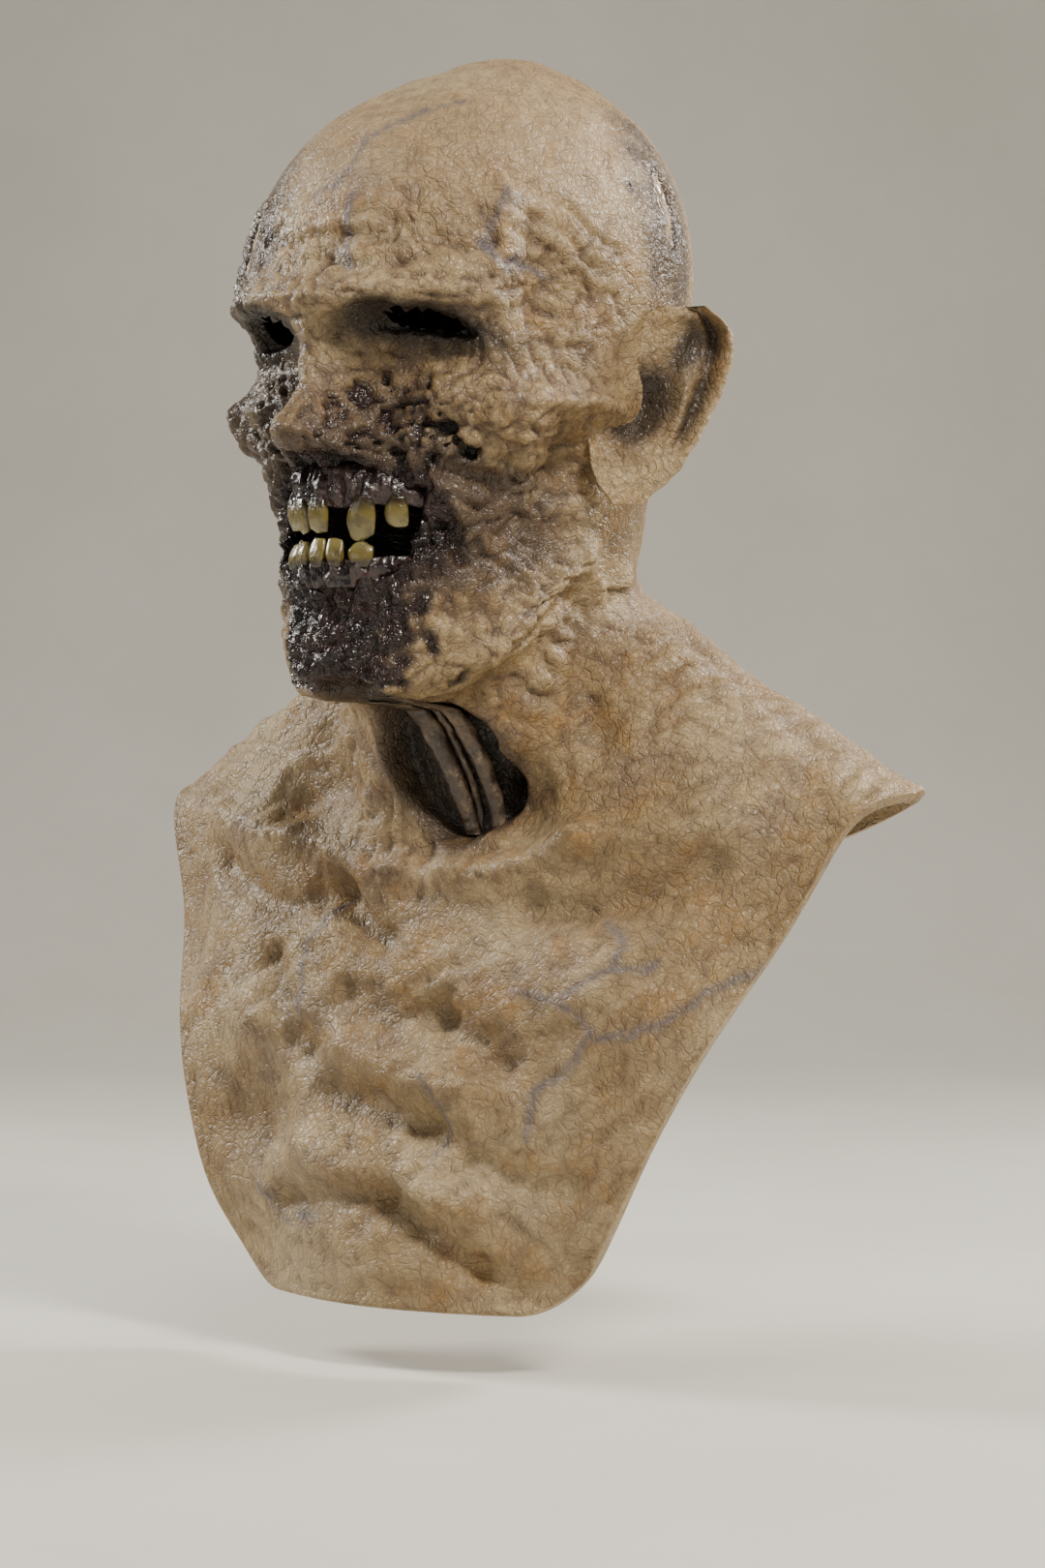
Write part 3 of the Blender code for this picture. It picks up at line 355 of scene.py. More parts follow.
# Openings and wounds, in millimetres on the front view. Each gives how deep inside its edge a point lies.
eyeSlit = {"place": 34.8, "z": -110.6, "halfWidth": 17.5, "halfHeight": 5.2, "droop": 0.10, "bow": 0.0082}
tornMouth = {"z": -185.5, "halfWidth": 37.0, "halfHeight": 22.5, "ragged": 2.6, "square": 2.4}
throatWound = {"x": 11.0, "z": -275.0, "halfWidth": 25.0, "halfHeight": 32.0, "slant": 0.20, "depth": 17.0}


def eyeInside(p):
    place, z, halfW, halfH, droop, bow = eyeSlit.values()
    best = np.full(p.shape[:-1], -1e3)
    for side in (1, -1):
        a = p[..., 0] * side - place
        r = np.hypot(a / halfW, (p[..., 2] - z + droop * a + bow * a ** 2) / halfH)
        best = np.maximum(best, (1 - r) * halfH)
    return np.where(p[..., 1] < -20, best, -1e3)


def mouthInside(p):
    z, halfW, halfH, ragged, square = tornMouth.values()
    r = (np.abs(p[..., 0] / halfW) ** square + np.abs((p[..., 2] - z) / halfH) ** square) ** (1 / square)
    ragged = bumpNoise(p, 7.0, 5) * ragged + bumpNoise(p, 3.0, 6) * 0.8
    return np.where(p[..., 1] < -10, (1 - r) * halfH + ragged, -1e3)


def throatInside(p):
    x, z, halfW, halfH, slant, depth = throatWound.values()
    b = (p[..., 2] - z) / halfH
    r = np.hypot((p[..., 0] - x) / halfW + b * slant, b)
    return np.where(p[..., 1] < 0, (1 - r) * halfW + bumpNoise(p, 9.0, 8) * 1.1, -1e3)


# Small wounds: x or y and z in millimetres, half sizes, depth and whether they lie on the front or a side.
smallWounds = [
    ("cheek_hole", "front", 44, -150, 4.2, 3.4, 7.0),
    ("cheek_hole_low", "front", 49, -159, 3.6, 3.0, 5.5),
    ("cheek_slit", "front", 60, -170, 6.0, 3.4, 7.0),
    ("nostril_left", "front", 9.5, -163, 5.6, 3.4, 9.0),
    ("nostril_right", "front", -9.5, -163, 5.0, 3.2, 8.0),
    ("far_pit", "front", -48, -34, 3.0, 4.0, 3.0),
    ("scalp_pit", "left", 2, -54, 2.6, 2.6, 2.6),
]

# Veins: runs of x and z on the front view, in millimetres.
veinRuns = [
    [(30, -24), (14, -34), (6, -39), (7, -48), (4, -55), (-8, -61)],
    [(11, -62), (10, -76), (15, -89)],
    [(62, -62), (58, -80), (66, -92)],
    [(-30, -48), (-34, -66), (-28, -84)],
    [(84, -333), (94, -342), (92, -352)],
    [(52, -360), (74, -363), (86, -352), (106, -348)],
    [(74, -363), (82, -368), (90, -376), (104, -374), (118, -366), (128, -356), (146, -348)],
    [(88, -374), (82, -384), (66, -396), (64, -416)],
    [(-40, -330), (-52, -348), (-48, -372)],
    [(20, -392), (30, -408), (24, -424)],
    [(-70, -440), (-52, -452), (-34, -450)],
]


def nearLine(x, z, run):
    best = np.full(x.shape, 1e9)
    for (ax, az), (bx, bz) in zip(run, run[1:]):
        dx, dz = bx - ax, bz - az
        t = np.clip(((x - ax) * dx + (z - az) * dz) / (dx * dx + dz * dz), 0, 1)
        best = np.minimum(best, np.hypot(x - ax - t * dx, z - az - t * dz))
    return best


# The finished outer surface and the marks that its colours read.
def outerSkin():
    angles = columnAngles(maskSkin["columns"], maskSkin["frontColumns"], maskSkin["frontAngle"])
    ringsDown = rowRings(maskSkin["rows"])
    p = modelledForm(angles[None, :], ringsDown[:, None])
    n = gridNormals(p)
    ring = np.broadcast_to(ringsDown[:, None], p.shape[:2])
    x, y, z = np.moveaxis(p, -1, 0)
    frontness = ease(-y, -10, 30)
    face = window(ring, 5.5, 7.5, 18.5, 20.5) * frontness
    bib = ease(ring, 26.5, 28.5)
    neck = window(ring, 19.5, 21, 27, 29)
    scalp = 1 - ease(ring, 5, 7.5)
    edgeFade = 1 - ease(ring, lastRing - 0.25, lastRing)

    warp = np.stack([bumpNoise(p, 22, s) for s in (11, 12, 13)], -1) * 6
    q = p + warp
    fine = np.zeros(x.shape)
    # long soft wrinkles lie across the forehead, down the cheeks and along the neck and ribs
    brow = window(z, -108, -92, -58, -45) * frontness
    run = z + 0.010 * x ** 2 + bumpNoise(p, 26, 3) * 5
    fine += brow * -1.2 * np.clip(np.sin(run / 9.5 * 2 * np.pi / 1.05), 0, 1) ** 2
    cheek = ease(np.abs(x), 24, 40) * window(-z, 135, 150, 215, 235) * frontness
    run = np.abs(x) * 0.8 + z * 0.45 + bumpNoise(p, 20, 4) * 5
    fine += cheek * -1.3 * np.clip(np.sin(run / 7.0 * 2 * np.pi / 1.1), 0, 1) ** 2
    folds = (x * 0.5 - z * 0.87) + bumpNoise(p, 30, 7) * 9
    fine += bib * 0.8 * np.sin(folds / 11 * 2 * np.pi) * ease(bumpNoise(p, 60, 9), -0.4, 0.5)
    fine += neck * 1.1 * np.sin((np.degrees(np.arctan2(x, -y)) + bumpNoise(p, 25, 10) * 14) / 9)
    # leather: creases at three sizes, stretched along the skin
    stretchX, stretchZ = np.array([0.62, 1, 1.0]), np.array([1, 1, 0.55])
    creaseA = creaseNoise(q * stretchX, 6.5, 21)
    creaseB = creaseNoise(q * stretchZ, 4.6, 22)
    creaseC = creaseNoise(q, 11.0, 23)
    leather = -(0.42 * creaseA ** 3 + 0.30 * creaseB ** 3 + 0.5 * creaseC ** 4)
    rough = 0.55 + 0.75 * face + 0.35 * neck + 0.12 * bib - 0.42 * scalp
    fine += maskSkin["leather"] * rough * leather * 3.1
    fine += bumpNoise(p, 16, 30) * (0.9 * face + 0.55 * bib + 0.4) + bumpNoise(p, 7, 31) * 0.35 * (1 + face)

    # broad puckers: across the face, slanting over the chest and upright on the neck
    acrossFace = creaseNoise(q * np.array([0.55, 1, 1.25]), 12, 24) ** 2
    overChest = creaseNoise(np.stack([x * 0.75 + z * 0.3, y, z * 1.15 - x * 0.25], -1) + warp, 15, 25) ** 2
    upNeck = creaseNoise(q * np.array([1.3, 1, 0.5]), 13, 26) ** 2
    puckers = 1.5 * acrossFace * face + 0.9 * overChest * bib
    puckers = puckers + 1.3 * upNeck * neck + 0.35 * acrossFace * scalp
    fine -= puckers
    # torn pits between the nose and the cheek
    pitZone = bell(x, 24, 19, z, -144, 14) * frontness
    pitZone += 0.7 * bell(x, 42, 13, z, -160, 10) * frontness
    pitZone += 0.8 * bell(x, -40, 16, z, -150, 30) * frontness
    pits = bumpNoise(q, 5.2, 41) + 0.35 * bumpNoise(q, 2.6, 42) + 0.62 * np.clip(pitZone, 0, 1)
    pits = ease(pits - 0.50, 0.0, 0.22)
    pits = pits * ease(pitZone, 0.12, 0.4)
    fine -= pits * 3.4
    wet = pits.copy()

    # the wet flesh round the mouth is torn into strings down to the chin
    mouth = mouthInside(p)
    belowMouth = np.exp(-(x / 38) ** 2) * window(-z, 196, 206, 243, 252) * frontness
    flesh = ease(mouth, -7, -2) + ease(belowMouth + 0.35 * bumpNoise(p, 9, 44), 0.42, 0.62)
    flesh = np.clip(flesh, 0, 1) * frontness * (ring < 20)
    strings = bumpNoise(p * np.array([1.6, 1, 0.55]), 5.0, 45)
    fine += flesh * (2.1 * strings + 1.2 * bumpNoise(p, 3.2, 46) - 1.6)
    wet = np.clip(wet + flesh, 0, 1)

    # scalp wounds: the skin is torn away over the bone
    scalpStain = np.zeros(x.shape)
    for deg, row, halfA, halfZ in ((106, 6.0, 8.5, 22), (-36, 6.9, 8.5, 22), (-58, 8.3, 7, 12)):
        d = p - plainForm(math.radians(deg), row)
        r = np.sqrt((np.hypot(d[..., 0], d[..., 1]) / halfA) ** 2 + (d[..., 2] / halfZ) ** 2)
        inside = (1 - r) * halfA + bumpNoise(p, 5, 51) * 1.8 + bumpNoise(p, 2.4, 52) * 0.7
        fine += np.exp(-((inside + 1.6) / 1.5) ** 2) * 1.5 - ease(inside, 0, 2.2) * 3.4
        wet = np.clip(wet + ease(inside, -0.6, 1.0), 0, 1)
        scalpStain = np.maximum(scalpStain, ease(inside, -26, -4) * (0.8 + 0.6 * bumpNoise(p, 14, 53)))
    # torn ridge in front of the left scalp wound
    ridge = plainForm(np.radians(np.array([80, 84, 90, 92.0])), np.array([4.3, 5.2, 6.2, 6.6]))
    fine += 1.6 * np.exp(-nearSquare(p, ridge) / 30) * creaseC

    dents = np.zeros(x.shape)
    for name, where, across, zMid, halfA, halfZ, depth in smallWounds:
        a = x if where == "front" else y
        ok = (y < -30) if where == "front" else (x > 20)
        r = np.sqrt(((a - across) / halfA) ** 2 + ((z - zMid) / halfZ) ** 2) + 0.25 * bumpNoise(p, 4, 61)
        w = (1 - ease(r, 0.55, 1.15)) * ok
        dents += w * depth
        wet = np.clip(wet + w, 0, 1)

    eye, throat = eyeInside(p), throatInside(p)
    push = ease(eye, -0.6, 1.4) * 7 + ease(mouth, -0.6, 2.0) * 7
    deep = ease(throat, -1.0, 4.5)
    push += deep * throatWound["depth"] + dents
    fine *= 1 - 0.6 * deep
    wrinkled = n * (fine * edgeFade)[..., None]
    moved = p + wrinkled + np.stack([0 * push, push, 0 * push], -1)
    keep = ~((eye > 2.2) | (mouth > 2.8))

    vein = np.zeros(x.shape)
    for run in veinRuns:
        d = nearLine(x + bumpNoise(p, 9, 71) * 2.2, z + bumpNoise(p, 9, 72) * 2.2, run)
        vein = np.maximum(vein, np.exp(-(d / 1.5) ** 2) * (y < 45))
    moved += n * (vein * 0.35 * edgeFade)[..., None]
    farStain = ease(-x, 44, 66) * window(z, -175, -150, -70, -45) * frontness
    # painted shade: the grooves of the chest and the deep hollows are darkened through the stain mark
    grooveShade = grooveDepth(p) * 0.75
    under = ease(-x, 30, 60) * window(z, -235, -200, -95, -70) * frontness
    under = under * (0.55 + 0.6 * bumpNoise(p, 13, 54))
    # stain: real stains round the scalp wounds, the mouth, the pits and the far side of the face, plus
    # painted shade in the grooves and round the throat wound
    stain = np.clip(scalpStain + 0.9 * farStain + under + 0.42 * grooveShade
                    + 0.8 * ease(mouth, -20, -3) * (ring < 20)
                    + 0.7 * np.clip(pitZone, 0, 1) + 0.6 * ease(throat, -6, 2), 0, 1)
    # painted shadow round each eye socket under the brow, added to the stain mark
    socketShade = bell(np.abs(x), 36, 21, z, -113, 8) * frontness
    stain = np.clip(stain + 0.85 * socketShade, 0, 1)
    # painted shade: the throat recess, the rims of the eye slits and the mouth and the small wound pits are
    # painted near black
    recessShade = deep + ease(eye, -5.5, 0.5) + np.clip(dents / 4, 0, 1) + ease(mouth, 0, 2)
    # the crease mark is painted shade along the leather creases and puckers
    marks = {"crease": np.clip(-leather * (0.6 + 0.6 * face) + 0.42 * puckers, 0, 1),
             "wet": wet, "vein": vein, "stain": stain, "deep": np.clip(recessShade, 0, 1),
             "pale": np.clip(ease(y, 5, 60) * ease(ring, 19, 24) + 0.5 * scalp, 0, 1)}
    return moved, keep, marks, ringsDown, angles


# Painted shade: how deep a point lies in the named grooves and hollows, 0 to 1.
def grooveDepth(p):
    best = np.zeros(p.shape[:-1])
    for _, degA, rowA, degB, rowB, halfW, rise, word in foldRows:
        if rise > -3:
            continue
        for side in sidesOf(word):
            near = nearSquare(p, foldLine(degA, rowA, degB, rowB, side, 10))
            best = np.maximum(best, np.exp(-near / (halfW * 0.9) ** 2) * min(-rise / 6, 1))
    for name, deg, row, halfW, halfH, forward, out, down, word in formRows:
        if forward + out > -8 or "shoulder" in name or "rim" in name:
            continue
        for side in sidesOf(word):
            best = np.maximum(best, moundWeight(p, side * deg, row, halfW * 0.8, halfH * 0.8) * 0.8)
    return best


# The inner face: the outer form, moved in by the wall along the mean of its own and the plain direction.
def innerSkin(angles, ringsDown):
    p = modelledForm(angles[None, :], ringsDown[:, None], True)
    n = gridNormals(p)
    plain = gridNormals(plainForm(angles[None, :], ringsDown[:, None]))
    mean = n + plain
    mean /= np.linalg.norm(mean, axis=-1, keepdims=True)
    inner = p - mean * maskSkin["wall"]
    throat = throatInside(p)
    inner[..., 1] += ease(throat, -9, 3) * throatWound["depth"]
    return inner, ~((eyeInside(p) > 1.0) | (mouthInside(p) > 1.0))


# Ear: a thin shell that stands out from the head. Its height runs 0 to 1 from the lobe, its width from
# the root to the rim; the hollow, the inner ridge and the rolled rim are added along its thickness.
earShape = {"height": 76, "reach": 37, "thickness": 4.6, "rootAngle": 86, "rootRing": 10.6,
            "topZ": -100, "flare": 50, "lean": 0.22, "rowsUp": 120, "columnsOut": 70,
            "rows": [(0.00, 0.02, 0.20), (0.06, -0.16, 0.40), (0.18, -0.30, 0.60), (0.35, -0.38, 0.76),
                     (0.50, -0.40, 0.88), (0.65, -0.38, 0.97), (0.80, -0.26, 1.00), (0.92, -0.05, 0.90),
                     (1.00, 0.22, 0.60)]}


def makeEar(name, side, material):
    height, reach, thickness, rootAngle, rootRing, topZ, flare, lean, rowsUp, count, rows = earShape.values()
    heights, roots, rims = np.array(rows).T
    h = (1 - np.cos(np.pi * np.linspace(0, 1, rowsUp))) / 2
    b = np.linspace(0, 1, count)[None, :]
    t = np.linspace(0, 1, 200)

    def smooth(v):
        padded = np.pad(np.interp(t, heights, v), 12, "edge")
        return np.interp(h, t, np.convolve(padded, np.ones(25) / 25, "valid"))[:, None]

    root, rim = smooth(roots), smooth(rims)
    h = h[:, None]
    out = (root + (rim - root) * b) * reach
    up = h * height + 0 * out
    place = np.stack([out, up, 0 * out], -1)
    ragged = bumpNoise(place, 5, 81) * 0.9 * b ** 6
    # hollow of the shell, ridge inside the rim, rolled rim, small knob in front of the hole
    bowl = 10.5 * bell(b, 0.40, 0.24, h, 0.50, 0.17)
    bowl += 5.5 * bell(b, 0.66, 0.13, h, 0.80, 0.14)
    channel = 4.2 * np.exp(-((b - 0.86) / 0.07) ** 2) * window(h, 0.22, 0.4, 0.93, 1.0)
    ridge = 3.6 * np.exp(-((b - 0.70 - 0.10 * np.sin(h * 5)) / 0.07) ** 2)
    ridge = ridge * window(h, 0.25, 0.4, 0.8, 0.95)
    roll = 3.8 * ease(b, 0.88, 1.0) * ease(h, 0.15, 0.35)
    roll = roll + 2.5 * np.exp(-((h - 0.955) / 0.05) ** 2) * ease(b, 0.1, 0.4)
    knob = 4.0 * bell(b, 0.22, 0.09, h, 0.42, 0.07)
    knob = knob + 3.0 * bell(b, 0.40, 0.12, h, 0.27, 0.05)
    depth = -bowl - channel + ridge + roll + knob - 5.0 * (b - 0.15) * (1 - b)
    depth = depth + bumpNoise(place, 6, 82) * 0.5 + 0.5 * creaseNoise(place, 5, 83)
    flare, q = math.radians(flare), plainForm(math.radians(rootAngle), rootRing)
    lean = lean * (h - 0.5) * height

    def sheet(d, grow):
        across = out + ragged + grow
        x = q[0] + across * math.sin(flare) + d * math.cos(flare)
        y = q[1] + across * math.cos(flare) - d * math.sin(flare) + lean
        return np.stack([side * x, y, topZ - height + up], -1)

    thick = thickness * (1 - 0.45 * b ** 2)
    front, back = sheet(depth, 0), sheet(np.minimum(depth, 1.5) - thick, 0)
    # the two faces meet round the rim in a half round
    turn = np.linspace(0, np.pi, 7)[1:-1]
    rimRing = [front[:, -1:] * (1 + np.cos(t)) / 2 + back[:, -1:] * (1 - np.cos(t)) / 2 for t in turn]
    rimOut = np.array([side * math.sin(flare), math.cos(flare), 0.0]) * 1.3
    rimRing = [r + rimOut * math.sin(t) for r, t in zip(rimRing, turn)]
    loop = closeEnds(np.concatenate([front] + rimRing + [back[:, ::-1]], 1))
    onFront, hollow = np.zeros(loop.shape[:2]), np.zeros(loop.shape[:2])
    onFront[:, :count] = 1
    # painted shade: the ear's hollows are darkened through the stain and deep marks
    dip = np.clip((bowl + channel) / 5, 0, 1)
    hollow[:, :count] = np.concatenate([dip[:1], dip, dip[-1:]])
    marks = {"crease": 0.5 * creaseNoise(loop, 4, 84) ** 2, "wet": 0 * hollow, "vein": 0 * hollow,
             "stain": 0.9 * hollow, "deep": 0.75 * hollow ** 2, "pale": 0.25 + 0.4 * (1 - onFront)}
    piece = gridMesh(name, loop, wrap=True, flip=(side > 0), marks=marks)
    return finishPiece(piece, material)


# Gums: a bowed band behind the torn mouth; its height runs between the gum line and the mouth's edge.
mouthParts = {"bow": 24.0, "halfWidth": 34.6, "front": -90.5, "biteZ": -185.5,
              "gumUp": 8.2, "gumDown": -13.0, "gumHalf": 23.5, "gumSquare": 3.0}


def mouthY(x):
    return mouthParts["front"] + mouthParts["bow"] * (x / 35.0) ** 2


def makeGum(name, upper, material):
    halfW, bite, square = (mouthParts[key] for key in ("halfWidth", "biteZ", "gumSquare"))
    x, v = np.linspace(-1, 1, 220)[None, :] * halfW, np.linspace(0, 1, 90)[:, None]
    edge = mouthParts["gumHalf"] * np.sqrt(np.clip(1 - np.abs(x / (halfW + 0.6)) ** square, 0.02, 1))
    line, sign, teeth = mouthParts["gumDown"], -1, lowerTeeth
    if upper:
        line, sign, teeth = mouthParts["gumUp"], 1, upperTeeth
    # gum tissue hangs between the teeth and pulls back over each one
    scallop = sum(2.2 * np.exp(-((x - t[1]) / (t[2] * 0.52)) ** 2) for t in teeth)
    start = sign * np.minimum(np.abs(line) - 1.6 + scallop, edge - 1.0) + 0 * v
    z = start + (sign * edge - start) * v
    flat = np.stack([x + 0 * v, 0 * z, z], -1)
    strand = np.clip(bumpNoise(flat * np.array([1.5, 1, 0.5]), 4.2, 90 + upper), -1, 1)
    puff = 3.0 * np.sin(np.pi * np.clip(v * 0.9 + 0.1, 0, 1)) ** 0.6
    puff = puff + 2.6 * strand + bumpNoise(flat, 2.2, 92) * 0.5
    roots = sum(1.5 * np.exp(-((x - t[1]) / (t[2] * 0.42)) ** 2) for t in teeth) * (1 - v) ** 0.7
    y = mouthY(x) - puff * 0.9 - roots + 2.2 + 0 * z
    face = np.stack([x + 0 * z, y, bite + z], -1)
    rear = np.stack([(x + 0 * z) * 0.95, mouthY(x) + 9.0 + 0 * z, bite + z], -1)
    loop = np.concatenate([face, rear[::-1]], 0)
    piece = gridMesh(name, closeEnds(np.swapaxes(loop, 0, 1)), wrap=True, flip=not upper)
    return finishPiece(piece, material)


# name, place across, width, length, lean in degrees, chip
upperTeeth = [
    ("upper_tooth_1", -21.7, 8.0, 12.0, 4, 0.2), ("upper_tooth_2", -12.6, 8.8, 13.0, -3, 0.4),
    ("upper_tooth_3", -3.2, 9.2, 13.5, 3, 0.3), ("upper_tooth_4", 14.7, 9.8, 16.0, -7, 0.5),
    ("upper_tooth_5", 24.5, 7.4, 11.5, 9, 0.3)]
lowerTeeth = [
    ("lower_tooth_1", -20.3, 6.8, 9.4, -3, 0.2), ("lower_tooth_2", -11.9, 7.2, 10.6, 4, 0.4),
    ("lower_tooth_3", -3.5, 7.4, 10.8, -4, 0.3), ("lower_tooth_4", 4.9, 7.0, 10.0, 5, 0.5),
    ("lower_tooth_5", 14.0, 8.8, 9.2, -8, 0.4)]


# Tooth: rounded sections from a narrow neck to a broad, thin, worn edge.
def makeTooth(name, place, width, length, lean, chip, up, material):
    t = np.linspace(0, 1, 44)[:, None]
    a = np.linspace(0, 2 * np.pi, 48, endpoint=False)[None, :]
    wide = width / 2 * (0.70 + 0.34 * np.sin(np.pi * np.clip(t * 0.78, 0, 1)) ** 0.9) * (1 - 0.22 * t ** 4)
    deep = 2.9 * (1 - 0.66 * t ** 1.5)
    close = np.sqrt(np.clip(1 - ((t - 0.955) / 0.045).clip(0, 1) ** 2, 0, 1)) * 0.999 + 0.001
    squareCos = np.sign(np.cos(a)) * np.abs(np.cos(a)) ** 0.78
    squareSin = np.sign(np.sin(a)) * np.abs(np.sin(a)) ** 0.78
    px, py = wide * squareCos * close, deep * squareSin * close
    flat = np.stack([px + 0 * t, py + 0 * t, -up * t * length + 0 * px], -1)
    wear = bumpNoise(flat + place * 3, 4.0, 95) * chip * 4.5 * t ** 3
    wear = wear + bumpNoise(flat + place, 1.8, 96) * 0.12
    ridge = 0.14 * np.cos(px * 2.6 + place) * (1 - t)
    tilt = math.radians(lean)
    start = (mouthParts["gumUp"] + 2.6 if up > 0 else mouthParts["gumDown"] - 2.4)
    zz = -up * t * length + wear
    x = place + px * math.cos(tilt) - zz * math.sin(tilt) * 0.5
    slope = math.atan(2 * mouthParts["bow"] * place / 35.0 ** 2)
    y = mouthY(place) + 1.3 + px * math.sin(slope) + (py - ridge) * math.cos(slope)
    y = y - 1.2 * np.sin(np.pi * t)
    x = x - py * math.sin(slope)
    points = np.stack([x, y, mouthParts["biteZ"] + start + zz + 0 * px], -1)
    age = np.concatenate([0 * t[:1], t, 1 + 0 * t[:1]]) + 0 * a
    piece = gridMesh(name, closeEnds(points), wrap=True, flip=(up > 0), marks={"age": age})
    return finishPiece(piece, material)


# Bare bone: an oval patch of the head's own form, pulled under the skin.
boneShapes = {"skull_strip_left": (104.5, 6.0, 3.9, 1.5), "skull_strip_right": (-36, 6.9, 4.6, 1.5)}


def makeBone(name, deg, row, halfDeg, halfRow, material):
    a = np.linspace(-1, 1, 60)
    across, down = np.meshgrid(a, a)
    discX, discY = across * np.sqrt(1 - down ** 2 / 2), down * np.sqrt(1 - across ** 2 / 2)
    grid = plainForm(np.radians(deg + discX * halfDeg), row + discY * halfRow)
    n = np.cross(np.gradient(grid, axis=0), np.gradient(grid, axis=1))
    n /= np.linalg.norm(n, axis=-1, keepdims=True)
    rise = bumpNoise(grid, 6, 97) * 0.35 + bumpNoise(grid * np.array([1, 1, 0.4]), 2.4, 98) * 0.22
    front, back = grid + n * (-1.4 + rise)[..., None], grid - n * 4.0
    piece = gridMesh(name, np.concatenate([front, back[::-1]], 0))
    return finishPiece(piece, material)


# Cords of the throat: round strands that run down the wound in a slow bend.
throatStrands = {
    "throat_cord_left": [(16, -248, 4.4), (19, -262, 4.0), (23, -276, 3.6),
                         (25, -292, 3.2), (24, -304, 2.6)],
    "throat_cord_right": [(3, -250, 4.6), (6, -264, 4.6), (10, -279, 4.2),
                          (13, -294, 3.6), (14, -303, 3.0)],
    "throat_thread": [(10, -250, 1.8), (12, -266, 1.6), (16, -280, 1.5),
                      (17, -296, 1.4), (18, -303, 1.3)],
}


def throatBackY(x, z):
    rows = rings[19:29]
    ring = np.interp(-z, -rows[:, 0], np.arange(len(rows)))
    width, mid, near = (np.interp(ring, np.arange(len(rows)), rows[:, k]) for k in (3, 4, 5))
    return mid - (mid - near) * np.sqrt(np.clip(1 - (x / width) ** 2, 0.05, 1)) + throatWound["depth"]


def makeStrand(name, run, material):
    run = np.array(run, float)
    t = np.linspace(0, len(run) - 1, 90)
    x, z, r = (np.interp(t, np.arange(len(run)), run[:, k]) for k in range(3))
    x, z, r = (np.convolve(np.pad(v, 7, "edge"), np.ones(15) / 15, "valid") for v in (x, z, r))
    y = throatBackY(x, z) - r * 0.75
    a = np.linspace(0, 2 * np.pi, 28, endpoint=False)[None, :]
    centre = np.stack([x, y, z], -1)[:, None]
    ring = np.stack([np.cos(a), np.sin(a), 0 * a], -1)
    points = centre + ring * r[:, None, None]
    fibres = bumpNoise(points, 5, 99) * 0.5 + bumpNoise(points * np.array([2, 2, 0.5]), 3, 100) * 0.35
    piece = gridMesh(name, closeEnds(points + ring * fibres[..., None]), wrap=True, flip=True)
    return finishPiece(piece, material)


# Helpers that place shader nodes and join them.
def put(tree, kind, **values):
    node = tree.nodes.new(kind)
    for key, value in values.items():
        if hasattr(node, key):
            setattr(node, key, value)
        else:
            node.inputs[key.replace("_", " ")].default_value = value
    return node


def join(tree, a, out, b, into):
    tree.links.new(a.outputs[out], b.inputs[into])


def math2(tree, operation, a, b=None, clamp=False):
    node = tree.nodes.new("ShaderNodeMath")
    node.operation, node.use_clamp = operation, clamp
    for i, source in enumerate((a, b)):
        if source is None:
            continue
        if isinstance(source, (int, float)):
            node.inputs[i].default_value = source
        else:
            tree.links.new(source, node.inputs[i])
    return node.outputs[0]


def mixColour(tree, share, a, b):
    node = tree.nodes.new("ShaderNodeMix")
    node.data_type = "RGBA"
    for i, source in ((0, share), (6, a), (7, b)):
        if isinstance(source, (int, float, tuple)):
            node.inputs[i].default_value = source
        else:
            tree.links.new(source, node.inputs[i])
    return node.outputs[2]


def span(tree, value, low, high):
    node = put(tree, "ShaderNodeMapRange", interpolation_type="SMOOTHSTEP", From_Min=low, From_Max=high)
    tree.links.new(value, node.inputs["Value"])
    return node.outputs["Result"]


def newGroup(name, inputs, outputs):
    group = bpy.data.node_groups.new(name, "ShaderNodeTree")
    for key, kind, value in inputs:
        socket = group.interface.new_socket(key, in_out="INPUT", socket_type=kind)
        if value is not None:
            socket.default_value = value
    for key, kind in outputs:
        group.interface.new_socket(key, in_out="OUTPUT", socket_type=kind)
    return group, group.nodes.new("NodeGroupInput"), group.nodes.new("NodeGroupOutput")


# Crackled leather: bent cells of one size, their borders as lines and a value for each cell.
def leatherGroup():
    tree, given, result = newGroup(
        "leatherCrackle",
        [("Vector", "NodeSocketVector", None), ("Scale", "NodeSocketFloat", 400.0),
         ("Bend", "NodeSocketFloat", 0.002)],
        [("Lines", "NodeSocketFloat"), ("Cells", "NodeSocketFloat")])
    noise = put(tree, "ShaderNodeTexNoise", Scale=90.0, Detail=3.0)
    join(tree, given, "Vector", noise, "Vector")
    shift, grow, bent = (put(tree, "ShaderNodeVectorMath", operation=word)
                         for word in ("SUBTRACT", "SCALE", "ADD"))
    shift.inputs[1].default_value = (0.5, 0.5, 0.5)
    join(tree, noise, "Color", shift, 0)
    join(tree, shift, 0, grow, 0)
    join(tree, given, "Bend", grow, "Scale")
    join(tree, given, "Vector", bent, 0)
    join(tree, grow, 0, bent, 1)
    edge = put(tree, "ShaderNodeTexVoronoi", feature="DISTANCE_TO_EDGE")
    cell = put(tree, "ShaderNodeTexVoronoi", feature="F1")
    for node in (edge, cell):
        join(tree, bent, 0, node, "Vector")
        join(tree, given, "Scale", node, "Scale")
    lines = span(tree, edge.outputs["Distance"], 0.16, 0.0)
    tree.links.new(lines, result.inputs["Lines"])
    join(tree, cell, "Distance", result, "Cells")
    return tree


